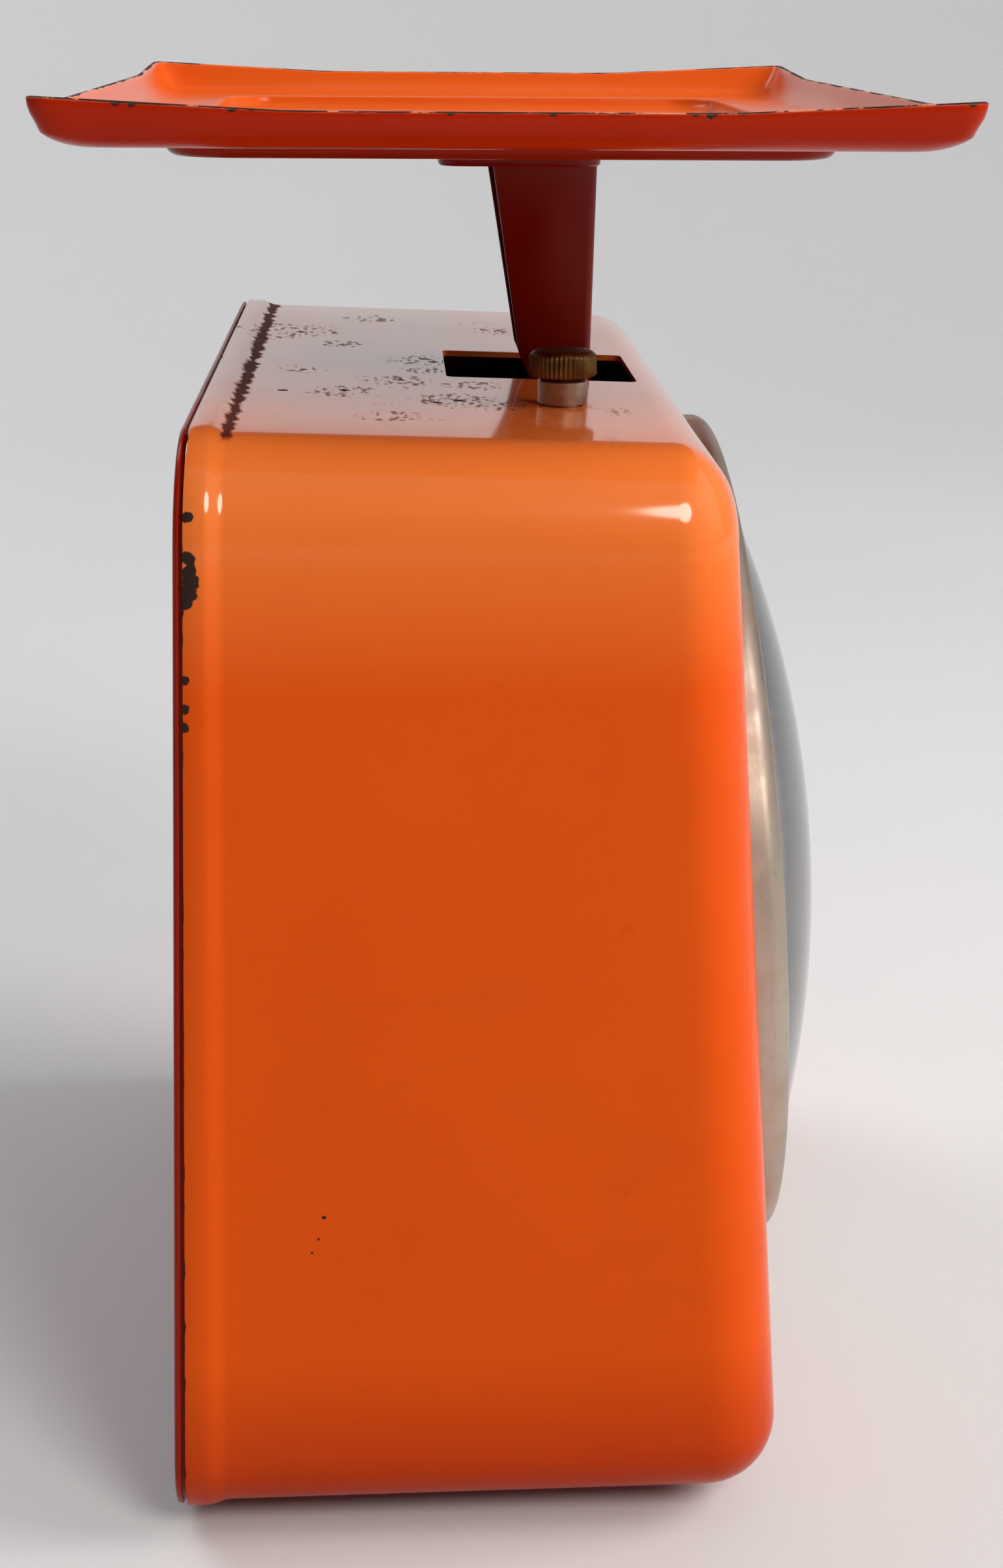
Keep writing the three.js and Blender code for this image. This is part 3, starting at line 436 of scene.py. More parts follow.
def enamel(name, colour="dc5005", gloss=0.16, places=(), edge=None, crease=None, scuffs=(), painted_shading=(),
           rim=0.0, shine=None):
    """Glossy fired enamel: faint waviness, dust specks, and chips down to dark metal.

    `places` are single chips and `scuffs` rubbing marks on the top. `edge` is a worn edge: a plane's normal
    and offset, a width and the width's chipped share. `crease` is a rusty line across the top: a plane and
    a width. `painted_shading` holds painted light and shade, a colour mixed in from one height to another.
    `rim` is the chipped share of the marked rim, which also gets a pale tint that is partly worn enamel and
    partly a painted sheen, and `shine` is the height above which the enamel is polished."""
    look = Finish(name, colour, 0.2)
    look.tint(look.between(look.grain(80, 2), 0.35, 0.7, 0.0, 0.4), (1.06, 1.3, 1.4))
    look.tint(look.between(look.grain(24, 3), 0.56, 0.85, 0.0, 0.25), (0.76, 0.74, 0.8))
    look.tint(look.between(look.grain(3.5, 3), 0.66, 0.8, 0.0, 0.16), (0.55, 0.5, 0.6))
    look.rough(look.between(look.grain(34, 3), 0.45, 0.75), 0.3)
    look.emboss(look.grain(2.6, 1), 0.0016)
    look.emboss(look.grain(30, 1), 0.05)
    height = look.height()
    # Painted light and shade: each entry mixes a lighter or darker colour in from one height to another.
    for start, end, share, shade in painted_shading:
        look.tint(look.between(height, start, end, 0.0, share), shade)
    cells = look.add("ShaderNodeTexVoronoi", {"Vector": look.place, "Scale": 1000 / 24})
    dots = look.between(cells.outputs["Distance"], 0.009, 0.017, 1.0, 0.0)
    draw = look.add("ShaderNodeSeparateXYZ", {0: cells.outputs["Color"]}).outputs[0]
    shown = look.between(draw, 0.6, 0.61)
    look.tint(look.maths("MULTIPLY", look.maths("MULTIPLY", dots, shown), 0.8), "5a2415")
    if scuffs:
        flat_top = look.between(look.across(*top_plane), -0.7, -0.2)
        specks = look.between(look.grain(0.9, 5, (3.5, 1.4, 1)), 0.52, 0.6)
        patches = look.maths("MAXIMUM", look.spots(scuffs, 0.9), look.between(look.grain(30, 3), 0.6, 0.66))
        marks = look.maths("MULTIPLY", look.maths("MULTIPLY", flat_top, specks), patches)
        look.wear(marks, "5e3226", 0.7, 0.75)
    if crease:
        normal, offset, width = crease
        away = look.maths("ABSOLUTE", look.across(normal, offset))
        shaken = look.maths("MULTIPLY_ADD", look.grain(3.5, 5), 3.6, away)
        line = look.between(shaken, width + 2.1, width + 1.5)
        flat_top = look.between(look.across(*top_plane), -0.9, -0.3)
        look.wear(look.maths("MULTIPLY", line, flat_top), "4a120f", 0.8, 0.95)
    if places:
        look.wear(look.spots(places), *CHIPPED)
    if edge:
        normal, offset, width, share = edge
        ragged = look.maths("MULTIPLY_ADD", look.grain(5, 3), width * 3, look.across(normal, offset))
        look.wear(look.between(ragged, width * share, width * (share + 0.2)), *CHIPPED)
    if rim:
        marked = look.add("ShaderNodeAttribute", {}, attribute_name="rim").outputs["Fac"]
        # A pale tint along the marked rim: partly worn enamel, partly a painted sheen. The chips below are
        # wear.
        look.tint(look.maths("MULTIPLY", look.between(marked, 0.5, 1.0), 0.4), "f2b08e")
        broken = look.maths("MULTIPLY_ADD", look.grain(1.6, 3), 0.5, look.grain(11, 2))
        chipped = look.between(look.maths("MULTIPLY", marked, broken), 1 - rim, 1 - rim + 0.04)
        look.wear(chipped, "33201c", 0.62)
    if look.worn is not None:
        look.emboss(look.maths("SUBTRACT", 1.0, look.worn), 0.1)
    if shine:
        polish = look.between(height, shine, shine + 9)
        if look.worn is not None:
            polish = look.maths("MULTIPLY", polish, look.maths("SUBTRACT", 1.0, look.worn))
        look.tree.links.new(polish, look.shader.inputs["Coat Weight"])
    look.shader.inputs["Specular IOR Level"].default_value = gloss
    look.shader.inputs["Coat Roughness"].default_value = 0.09
    return look.done()


# Each mark is (x, y, z, radius) in millimetres.
side_chips = [(-109.5, 53.2, 199.5, 1.2), (-109.5, 53.2, 192.5, 1.3), (-109.5, 53.0, 190.4, 1.4),
              (-109.5, 52.9, 188.6, 1.6), (-109.5, 53.4, 186.6, 1.6), (-109.5, 53.9, 185.0, 1.2),
              (-109.5, 54.4, 171.6, 0.9), (-109.5, 54.6, 166.5, 0.9), (-109.5, 54.9, 163.2, 1.1),
              (-108.6, -32.1, 149.8, 0.6), (-108.6, -32.2, 145.2, 0.55), (-108.6, -26.6, 34.8, 0.6),
              (-108.6, -26.8, 33.9, 0.55), (-108.6, 32.3, 69.8, 0.5), (-108.6, 33.4, 65.4, 0.45),
              (-108.6, 34.6, 62.6, 0.45), (-108.6, 17.1, 96.6, 0.6), (-107.5, -31.3, 202.2, 0.6),
              (-108.5, -38.2, 72.4, 0.4)]
top_chips = [(1, 10.6, 209.8, 1.1), (5, 12.6, 209.8, 0.9), (-10, 10.4, 209.8, 0.7), (43, 39.5, 210.6, 1.0),
             (-15.5, 36.8, 210.5, 0.8), (-43.5, 39.8, 210.6, 1.1), (-41.3, 28.1, 210.3, 1.1),
             (-25.8, 17.5, 210.0, 0.9), (-53.3, 10.6, 209.8, 1.0), (-50.1, 6.7, 209.7, 1.1),
             (76, 22.8, 210.1, 0.7), (53.7, -6.3, 209.3, 1.0)]
rim_chips = [(-112.2, y, z, size) for y, z, size in (
    (62.0, 266.2, 1.0), (59.5, 266.0, 0.9), (44.0, 265.3, 0.9), (41.0, 265.2, 0.7), (24.5, 265.0, 0.7),
    (9.7, 265.0, 0.9), (-4.5, 265.0, 0.8), (-6.5, 265.0, 0.9), (-15.8, 265.0, 0.7), (-29.0, 265.0, 0.9),
    (-31.5, 265.0, 1.1), (-36.4, 265.1, 0.8), (-73.0, 266.8, 0.9))]
scuff_places = [(3, 13, 209.9, 7), (-12, 12, 209.8, 5), (-43, 28, 210.3, 7), (-27, 18, 210.0, 7),
                (-50, 7, 209.7, 8), (-56, -3, 209.4, 7), (-30, 4, 209.6, 6), (-15, 37, 210.5, 5),
                (43, 39, 210.6, 5), (55, -5, 209.4, 6), (70, 24, 210.1, 6), (25, 30, 210.3, 5),
                (-70, 20, 210.0, 6)]
tray_chips = [(-22, -47, 257.4, 1.6), (-18, -45, 257.4, 1.1), (-26, -44, 257.4, 0.9), (20, 12, 257.2, 0.7)]
top_slope = FALL / (BACK - FRONT - (BACK_LEAN + FRONT_LEAN) * HEIGHT)
top_plane = ((0, -top_slope, 1), FOOT + HEIGHT - top_slope * (BACK - BACK_LEAN * HEIGHT))
rear, rear_edge = (0, 1, BACK_LEAN), BACK + BACK_LEAN * FOOT
# Painted light and shade on the case's sides: lighter orange painted along the upper side where the light
# from above falls, and darker red painted towards the bottom as shade.
case_painted_shading = [(168, 202, 0.7, "f4893f"), (40, 2, 0.85, "9c1a03")]
enamel_case = enamel("fired_orange_enamel_case", gloss=0.08, places=side_chips + top_chips,
                     scuffs=scuff_places, edge=(rear, rear_edge, 0.5, 1.5),
                     crease=(rear, rear_edge - BAND - 0.2, 1.1), painted_shading=case_painted_shading, shine=190)
# The back cover: the case's orange enamel darkened to deep red as painted shade at the back.
enamel_cover = enamel("fired_orange_enamel_cover_painted_shade", colour="961d05", gloss=0.08, shine=240)
enamel_tray = enamel("fired_orange_enamel_tray", colour="de5a16", rim=0.36, places=tray_chips)
# The tray's outside is the tray's enamel darkened to deep red as painted shade, and darker still under the
# recess as painted shade.
enamel_under_painted_shade = enamel("enamel_tray_outside_painted_shade", colour="a92205", gloss=0.08, rim=0.4,
                      places=rim_chips, painted_shading=[(259, 256.5, 0.7, "640f03")], shine=300)
# The column and its support plate: the enamel darkened to deep red as painted shade under the tray.
enamel_column_painted_shade = enamel("fired_enamel_column_painted_shade", colour="770d05", places=[(-9, -21, 224, 0.5)])
print("enamels:", len(bpy.data.materials))


# %% Metals, rubber, glass and print
def metal(name, colour, dark, roughness, size, tarnish, stretch=(1, 1, 1)):
    """Bare or plated metal: cloudy tarnish in spots of `size` mm and fine rubbing marks."""
    look = Finish(name, colour, roughness, 1.0)
    look.tint(look.between(look.grain(size, 4), 0.4, 0.7, 0.0, tarnish), dark)
    look.rough(look.between(look.grain(size / 3, 3), 0.4, 0.7), min(1.0, roughness + 0.22))
    fine = look.grain(0.5, 2, stretch)
    look.tint(look.between(fine, 0.62, 0.75, 0.0, 0.4), dark)
    look.emboss(fine, 0.012)
    return look.done()


plating = metal("worn_bezel_plating", "c9bbad", "978472", 0.45, 24, 0.4, (1, 1, 6))
brass = metal("tarnished_brass", "7d6038", "3a2818", 0.4, 5, 0.8)
collar_steel = metal("worn_collar_steel", "b8a08c", "6e5546", 0.3, 5, 0.5)
zinc = metal("zinc_plated_steel", "aaa9a6", "77746f", 0.34, 16, 0.5)
wire = metal("drawn_spring_wire", "8f8f92", "55504a", 0.3, 5, 0.5, (1, 1, 3))
screw_steel = metal("bright_screw_steel", "b5b2ac", "6e655c", 0.3, 4, 0.6)

look = Finish("matt_foot_rubber", "1d1b1a", 0.75)
look.tint(look.between(look.grain(6, 3), 0.45, 0.7, 0.0, 0.6), "34302d")
look.emboss(look.grain(0.5, 2), 0.05)
rubber = look.done()

look = Finish("satin_dial_paint", "ece9df", 0.42)
look.tint(look.between(look.grain(40, 3), 0.45, 0.75, 0.0, 0.5), "ddd6c4")
look.tint(look.between(look.grain(1.2, 3), 0.68, 0.76, 0.0, 0.35), "b9ad96")
look.emboss(look.grain(1.0, 2), 0.008)
dial_paint = look.done()

look = Finish("printed_black_ink", "16151a", 0.5)
look.tint(look.between(look.grain(0.8, 3), 0.6, 0.75, 0.0, 0.5), "3a373b")
ink = look.done()

look = Finish("printed_red_ink", "a5231c", 0.5)
look.tint(look.between(look.grain(0.8, 3), 0.6, 0.75, 0.0, 0.5), "c04a38")
red_ink = look.done()

look = Finish("satin_black_pointer", "141414", 0.34)
look.tint(look.between(look.grain(3, 3), 0.5, 0.75, 0.0, 0.5), "2c2a29")
look.emboss(look.grain(0.8, 2), 0.006)
black_paint = look.done()

look = Finish("clear_acrylic_dome", "f8efe8", 0.02)
look.rough(look.between(look.grain(18, 3), 0.5, 0.8), 0.07)
look.rough(look.between(look.grain(0.7, 2, (10, 1, 1)), 0.68, 0.76), 0.25)
look.shader.inputs["Transmission Weight"].default_value = 1.0
look.shader.inputs["IOR"].default_value = 1.46
acrylic = look.done()
print("materials:", len(bpy.data.materials))

# %% [markdown]
# ## Case
# Rings go round the case from its open back: the widened rear band, the crease in front of it, the
# side, the front rounding and the round dial opening, and then back along the inside of the sheet.

# %% Case shell
def case_outline(inset):
    """The upright case seen from the front, `inset` mm inside its outer skin."""
    half = WIDTH / 2 - inset
    return rounded_ring(-half, half, inset, HEIGHT - inset, BOTTOM_R - inset, TOP_R - inset, 12, 6)


def case_ring(inset, depth):
    """The outline laid into the leaning case, `depth` mm from the back."""
    return [lean(p.x, p.y, depth) for p in case_outline(inset)]


def front_ring(turn, skin):
    """A ring of the front rounding, `skin` mm inside the sheet.

    It is the wide rounding, and turns into the tight one over the height of the upper corners."""
    across, along = 1 - math.cos(turn), 1 - math.sin(turn)
    tight, wide = (case_ring(skin + (radius - skin) * across, DEPTH - skin - (radius - skin) * along)
                   for radius in (FRONT_R, SIDE_R))
    climbs = [max(0.0, (p.y - HEIGHT + TOP_R) / TOP_R) for p in case_outline(0)]
    return [b.lerp(a, climb) for a, b, climb in zip(tight, wide, climbs)]


def opening_ring(radius, depth):
    """The dial opening: a point for each of the outline's, in the same direction from the dial."""
    ring = []
    for p in case_outline(0):
        away = Vector((p.x, p.y - DIAL)).normalized() * radius
        ring.append(dial_frame @ Vector((away.x, depth, away.y)))
    return ring


def case_skin():
    """The pressed shell, from its back edge over the outside to the opening and back along the inside."""
    edge = 0.3
    step_start, step_end = BAND - STEP_HALF, BAND + STEP_HALF
    outer = [(SHEET / 2 - FLARE, 0.0), (edge * 0.3 - FLARE, 0.08), (-FLARE, edge), (-FLARE, step_start)]
    outer += [(-FLARE * (0.5 + 0.5 * math.cos(math.pi * i / 10)), step_start + 2 * STEP_HALF * i / 10)
              for i in range(1, 11)]
    outer += [(0.0, step_end + (DEPTH - SIDE_R - step_end) * i / 6) for i in range(1, 6)]
    inner = [(SHEET, BAND + 0.4), (SHEET - FLARE, BAND - SHEET), (SHEET - FLARE, 0.1)]
    rings = [case_ring(*place) for place in outer]
    rings += [front_ring(turn, 0.0) for turn in quarter(14)]
    rings += [opening_ring(OPENING + 0.5, 0.0), opening_ring(OPENING, 0.3), opening_ring(OPENING, SHEET)]
    rings += [front_ring(turn, SHEET) for turn in reversed(quarter(8))]
    rings += [case_ring(*place) for place in inner]
    return loft(rings, closed=True)


knob_x, knob_y, _ = middle_mm("zero_knob")
case_holes = [block(*SLOT, top_at(0) - 12, top_at(0) + 12, 1.5),
              rod(COLLAR_HOLE, (knob_x, knob_y, 200), (knob_x, knob_y, 222))]
for i in range(1, 5):
    x, y, _ = middle_mm(f"foot_{i}")
    case_holes.append(rod(FOOT_HOLE, (x, y, 1), (x, y, 9)))
for i in range(1, 5):
    x, y, _ = middle_mm(f"chassis_screw_{i}")
    case_holes.append(rod(SCREW_HOLE, (x, y, 1), (x, y, 7)))
add_piece("case_enamel", case_skin(), "case", enamel_case, ["case_shell"], case_holes)

# %% Back cover
MIDDLE, LIP = 12.0, 4.0        # inset of the flat middle, and reach of the lip into the case
cover_back = -COVER_GAP - COVER_SHEET
brim = 0.5 - FLARE
wall = SHEET - FLARE + GAP
cover_places = [(MIDDLE, cover_back), (2.2, cover_back), (1.0, cover_back + 0.12),
                (brim + 0.5, cover_back + 0.35), (brim + 0.1, cover_back + 0.75), (brim, cover_back + 1.1),
                (brim + 0.1, -COVER_GAP), (wall, -COVER_GAP), (wall, LIP - 0.3), (wall + 0.3, LIP),
                (wall + 0.9, LIP), (wall + SHEET, LIP - 0.3), (wall + SHEET, -COVER_GAP + 0.3),
                (wall + SHEET + 0.6, -COVER_GAP), (MIDDLE, -COVER_GAP)]
cover_holes = []
for i in range(1, 5):
    x, _, z = middle_mm(f"back_cover_screw_{i}")
    cover_holes.append(rod(SCREW_HOLE, (x, 45, z), (x, 70, z)))
add_piece("back_cover_enamel", loft([case_ring(*place) for place in cover_places]), "case",
          enamel_cover, ["back_cover"], cover_holes, smooth=40)


# %% [markdown]
# ## Screws and feet
# A pan head with a rounded crown and a clean slot, on a plain shank.

# %% Screws and feet
def screw(name, at, direction, length, slot_turn):
    """A screw whose head sits at `at` and points along `direction`; `length` is its shank's."""
    profile = [(HEAD_R * math.sin(t), HEAD_HIGH * (0.35 + 0.65 * math.cos(t))) for t in quarter(6)]
    profile += [(HEAD_R, 0.0), (SHANK_R, 0.0), (SHANK_R, -length + 0.4), (1.1, -length), (0, -length)]
    upright = Vector(direction).to_track_quat("Z", "Y").to_matrix().to_4x4()
    place = Matrix.Translation(at) @ upright @ Matrix.Rotation(slot_turn, 4, "Z")
    groove = block(-HEAD_R * 2, HEAD_R * 2, -0.35, 0.35, HEAD_HIGH * 0.45, HEAD_HIGH * 2)
    bmesh.ops.transform(groove, matrix=place, verts=groove.verts)
    add_piece(name.replace("_screw", "_slotted_screw"), spun(profile, 32, place), "case",
              screw_steel, [name], [groove], smooth=30)


for i, slot_turn in zip(range(1, 5), (0.4, 1.3, 2.2, 0.9)):
    name = f"back_cover_screw_{i}"
    low, high = box_mm(name)
    x, _, z = middle_mm(name)
    seat = high.y - HEAD_SEAT
    screw(name, (x, seat, z), (0, 1, 0), seat - low.y, slot_turn)
    name = f"chassis_screw_{i}"
    low, high = box_mm(name)
    x, y, _ = middle_mm(name)
    seat = low.z + HEAD_SEAT
    screw(name, (x, y, seat), (0, 0, -1), high.z - seat, slot_turn)

for i in range(1, 5):
    low, high = box_mm(f"foot_{i}")
    x, y, _ = middle_mm(f"foot_{i}")
    radius, under, top = (high.y - low.y) / 2, FOOT - 0.35, high.z
    profile = [(0, 0.0), (radius - 1.6, 0.0), (radius - 0.8, 0.15), (radius - 0.25, 0.6)]
    profile += [(radius - 0.05, 1.2), (radius - 0.6, under - 0.2), (radius - 0.9, under), (2.4, under)]
    profile += [(2.4, top - 1.7), (3.8, top - 1.6), (3.6, top - 1.1), (2.6, top - 0.1), (0, top)]
    foot = spun(profile, 40, Matrix.Translation((x, y, 0)))
    add_piece(f"rubber_foot_{i}", foot, "case", rubber, [f"foot_{i}"])

# %% [markdown]
# ## Dial
# All of it is drawn flat about Z and then laid into the leaning dial frame.

# %% Bezel and dome
flat_to_dial = dial_frame @ Matrix.Rotation(math.radians(90), 4, "X")


def bezel_profile():
    """A thin sheet rolled over a half circle, open behind."""
    middle, round_by = (BEZEL_OUT + BEZEL_IN) / 2, (BEZEL_OUT - BEZEL_IN) / 2
    crown = BEZEL_PROUD - round_by
    profile = [(BEZEL_OUT, GAP)]
    profile += [(middle + round_by * math.cos(t), crown + round_by * math.sin(t))
                for t in (math.pi * i / 18 for i in range(19))]
    profile += [(BEZEL_IN, BEZEL_BACK), (BEZEL_IN + BEZEL_SHEET, BEZEL_BACK)]
    round_by -= BEZEL_SHEET
    profile += [(middle + round_by * math.cos(t), crown + round_by * math.sin(t))
                for t in (math.pi * i / 12 for i in range(12, -1, -1))]
    return profile + [(BEZEL_OUT - BEZEL_SHEET, GAP)]


add_piece("bezel_ring", spun(bezel_profile(), 192, flat_to_dial), "case", plating,
          ["dial_bezel"])


def dome(rim, sag):
    """The profile of a shallow ball's cap, from its top to its rim."""
    ball = (rim * rim + sag * sag) / (2 * sag)
    radii = [rim * math.sin(t) for t in quarter(28)]
    return [(r, LENS_SPRING + math.sqrt(ball * ball - r * r) - (ball - sag)) for r in radii]


lens_out = BEZEL_IN - GAP
lens_in = lens_out - LENS_THICK
flange = BEZEL_OUT - 1.7
lens = dome(lens_out, LENS_SAG + LENS_THICK)
lens += [(lens_out, 2.0), (flange, 2.0), (flange, 0.5), (lens_in, 0.5)]
lens += list(reversed(dome(lens_in, LENS_SAG)))
add_piece("clear_dome", spun(lens, 160, flat_to_dial), "case", acrylic, ["dial_lens"],
          smooth=50)

# %% Dial plate and its print
DIAL_BORE, DIAL_SCREW = 3.5, 34.0   # the middle hole, and the screws' distance from the middle
face = GAP + 0.8
dial_out = lens_in - 0.4
plate = [(DIAL_BORE, GAP), (dial_out, GAP), (dial_out, face - 0.15), (dial_out - 0.15, face),
         (DIAL_BORE, face)]
screw_holes = []
for x in (-DIAL_SCREW, DIAL_SCREW):
    screw_holes.append(rod(SCREW_HOLE, dial_frame @ Vector((x, -4, 0)), dial_frame @ Vector((x, 4, 0))))
add_piece("dial_disc", spun(plate, 160, flat_to_dial), "case", dial_paint, ["dial_plate"],
          screw_holes)


def printed(name, mesh, material):
    """Lays a flat print on the dial."""
    bmesh.ops.transform(mesh, matrix=flat_to_dial, verts=mesh.verts)
    return add_piece(name, mesh, "case", material)


def division(angle, inner, width):
    """A mark from `inner` out to the dial's ring, at an angle clockwise from the top."""
    mark = block(-width / 2, width / 2, inner, RING, PRINT_LOW, PRINT_HIGH)
    bmesh.ops.rotate(mark, cent=(0, 0, 0), matrix=Matrix.Rotation(-angle, 3, "Z"), verts=mark.verts)
    return mark


KILOS, KILO_STEP, PARTS = 10, math.radians(36), 20   # a kilo has 20 parts of 50 g
RING, FIGURE_R, FIGURE_SIZE, UNIT_SIZE = 76.0, 53.5, 11.5, 10.0
PRINT_LOW, PRINT_HIGH = face + 0.01, face + 0.06
fine, bold = [], []
for i in range(KILOS * PARTS):
    angle = KILO_STEP * i / PARTS
    if i % PARTS == 0:
        bold.append(division(angle, 63.0, 1.5))
    elif i % (PARTS // 2) == 0:
        bold.append(division(angle, 67.0, 0.9))
    else:
        fine.append(division(angle, 70.5 if i % 2 == 0 else 73.0, 0.45))
ring_line = [(RING, PRINT_LOW), (RING + 0.5, PRINT_LOW), (RING + 0.5, PRINT_HIGH), (RING, PRINT_HIGH)]
printed("dial_fine_divisions", merged(*fine, spun(ring_line, 160)), ink)
printed("dial_kilo_divisions", merged(*bold), ink)


def lettering(text, size, x, y):
    """Plain upright figures as a mesh, centred on a point of the dial."""
    curve = bpy.data.curves.new("figures", "FONT")
    curve.body = text
    curve.size = size
    curve.align_x = "CENTER"
    curve.align_y = "CENTER"
    curve.extrude = 0.025
    curve.offset = size * 0.012
    curve.resolution_u = 4
    mesh = from_curve(curve)
    bmesh.ops.translate(mesh, vec=(x, y, face + 0.035), verts=mesh.verts)
    return mesh


figures = []
for kilo in range(KILOS):
    angle = KILO_STEP * kilo
    x, y = FIGURE_R * math.sin(angle), FIGURE_R * math.cos(angle)
    figures.append(lettering(str(kilo), FIGURE_SIZE, x, y))
printed("dial_figures", merged(*figures), ink)
printed("dial_unit", lettering("kg", UNIT_SIZE, 0, -27), red_ink)

# %% Pointer
def hand(half_widths, low_z, thick):
    """A flat hand: (y, half width) pairs from tail to tip."""
    ring = [Vector((-w, y, 0)) for y, w in half_widths]
    ring += [Vector((w, y, 0)) for y, w in reversed(half_widths)]
    rings = [[p + Vector((0, 0, z)) for p in ring] for z in (low_z, low_z + thick)]
    return loft(rings)


HAND_THICK, CAP_R, ARBOR_HOLE = 0.8, 5.0, 1.85
pointer_low = face + 2.2
shape = [(-18, 2.2), (-17.4, 2.6), (-11, 3.3), (-3, 4.2), (3, 4.1), (8, 2.5), (30, 1.6), (60, 0.75),
         (63, 0.3)]
pointer = hand(shape, pointer_low, HAND_THICK)
bmesh.ops.transform(pointer, matrix=flat_to_dial, verts=pointer.verts)
hub_hole = rod(1.75, dial_frame @ Vector((0, -1, 0)), dial_frame @ Vector((0, -9, 0)))
add_piece("pointer_hand", pointer, "pointer", black_paint, ["pointer"], [hub_hole],
          soften=0.12)

cap_seat = pointer_low + HAND_THICK + GAP
cap = [(0, cap_seat + 2.2)]
cap += [(CAP_R * math.sin(t), cap_seat + 0.5 + 1.7 * math.cos(t))
        for t in (math.radians(a) for a in range(12, 91, 13))]
cap += [(CAP_R - 0.1, cap_seat), (ARBOR_HOLE, cap_seat), (ARBOR_HOLE, cap_seat + 1.5), (0, cap_seat + 1.5)]
add_piece("pointer_cap_turned", spun(cap, 48, flat_to_dial), "pointer", brass,
          ["pointer_cap"])

# %% [markdown]
# ## Tray
# One skin runs from the middle of the floor, up the recess step, over the ledge and up the flared
# wall, round the rim, and back underneath. The rim climbs to a point at each corner.

# %% Tray
def square_off(value, half):
    """How far a point lies inside the corner's square, or below 0 outside it."""
    return abs(value) - (half - TRAY[2])


def tray_ring(width, length, radius, z):
    """A ring of the tray; above the ledge its corners grow square and near the rim they climb."""
    outline = rounded_ring(-width / 2, width / 2, -length / 2, length / 2, radius, radius, 12, 14)
    ring = []
    climb = max(0.0, min(1.0, (z - LEDGE) / (RIM - LEDGE)))
    for p in outline:
        x, y = square_off(p.x, TRAY[0] / 2), square_off(p.y, TRAY[1] / 2)
        if x > 0 and y > 0:
            turn, power = math.atan2(y, x), 2 + (SQUARE - 2) * climb
            grow = (math.cos(turn) ** power + math.sin(turn) ** power) ** (-1 / power) - 1
            p = Vector((p.x + math.copysign(x * grow, p.x), p.y + math.copysign(y * grow, p.y)))
        near = max(0.0, 1 - math.hypot(TRAY[0] / 2 - abs(p.x), TRAY[1] / 2 - abs(p.y)) / EAR_REACH)
        lift = EAR * near * climb if z > RIM - 3.2 else 0.0
        ring.append(Vector((p.x, p.y, FOOT + z + lift)))
    return ring


def tray_side(off, lift):
    """Places from the floor's middle to the rim, for the skin `off` mm inside and `lift` mm above."""
    wide, long, corner = RECESS
    places = [(wide - 60, long - 60, 3.0, FLOOR + lift)]
    for t in quarter(6):
        inset = 2 * (off + BEND * (1 - math.sin(t)))
        places.append((wide - inset, long - inset, corner - inset / 2 + BEND,
                       FLOOR + lift + BEND * (1 - math.cos(t))))
    for t in quarter(4)[1:]:
        spread = 2 * 1.3 * (1 - math.cos(t)) - 2 * off
        places.append((wide + spread, long + spread, corner + spread / 2 + BEND,
                       LEDGE + lift - 0.3 + 0.3 * math.sin(t)))
    deep = RIM - LEDGE
    flare = TRAY_FLARE - off * 0.3
    for t in quarter(10):
        inset = off + flare * (1 - math.sin(t))
        places.append((TRAY[0] - 2 * inset, TRAY[1] - 2 * inset, max(TRAY[2] - inset, 2.5),
                       LEDGE + lift + deep * 0.96 * (1 - math.cos(t))))
    return places


under = tray_side(0.0, 0.0)
over = [p for p in tray_side(SHEET, SHEET) if p[3] < RIM - 0.3]
rim_steps = ((0.15, 0, 0.12), (0.8, 0.4, 0), (1.9, 0.95, 0), (2.35, 1.2, 0.2))
edge_places = [(TRAY[0] - narrower, TRAY[1] - narrower, TRAY[2] - tighter, RIM - lower)
               for narrower, tighter, lower in rim_steps]
skin = under + edge_places + list(reversed(over))
tray = add_piece("tray_enamel", loft([tray_ring(*place) for place in skin]), "tray",
                 enamel_tray, ["tray"], smooth=50)
around = len(tray_ring(*under[0]))
# The rim's rings are marked for its chips and a painted sheen, and the skin outside the rim gets the
# enamel darkened with painted shade.
mark = tray.data.attributes.new("rim", "FLOAT", "POINT")
share = {len(under) - 1: 0.6, len(under): 1.0, len(under) + 1: 1.0, len(under) + 2: 1.0, len(under) + 3: 0.7}
mark.data.foreach_set("value", [share.get(i // around, 0.0) for i in range(len(tray.data.vertices))])
tray.data.materials.append(enamel_under_painted_shade)
for polygon in tray.data.polygons:
    if max(polygon.vertices) < around * (len(under) + 1):
        polygon.material_index = 1
print("tray rings:", len(skin), "of", around, "points")

# %% [markdown]
# ## Column and its support
# The column is a folded channel, open at the back: wide under the tray and narrow through the case.

# %% Column
def channel(z, back, half):
    """The channel's section at one height, going round the outside and back along the inside."""
    outer_bend, inner_bend = 1.6, 0.4
    right_side = [(half - outer_bend + outer_bend * math.sin(t), WEB + outer_bend - outer_bend * math.cos(t))
                  for t in quarter(4)]
    right_side += [(half, back - 0.25), (half - 0.3, back)]
    inside = half - PLATE
    right_side += [(inside + 0.3, back), (inside, back - 0.25)]
    right_side += [(inside - inner_bend + inner_bend * math.sin(t),
                    WEB + PLATE + inner_bend - inner_bend * math.cos(t)) for t in reversed(quarter(4))]
    left_side = [(-x, y) for x, y in reversed(right_side)]
    return [Vector((x, y, z)) for x, y in right_side + left_side]


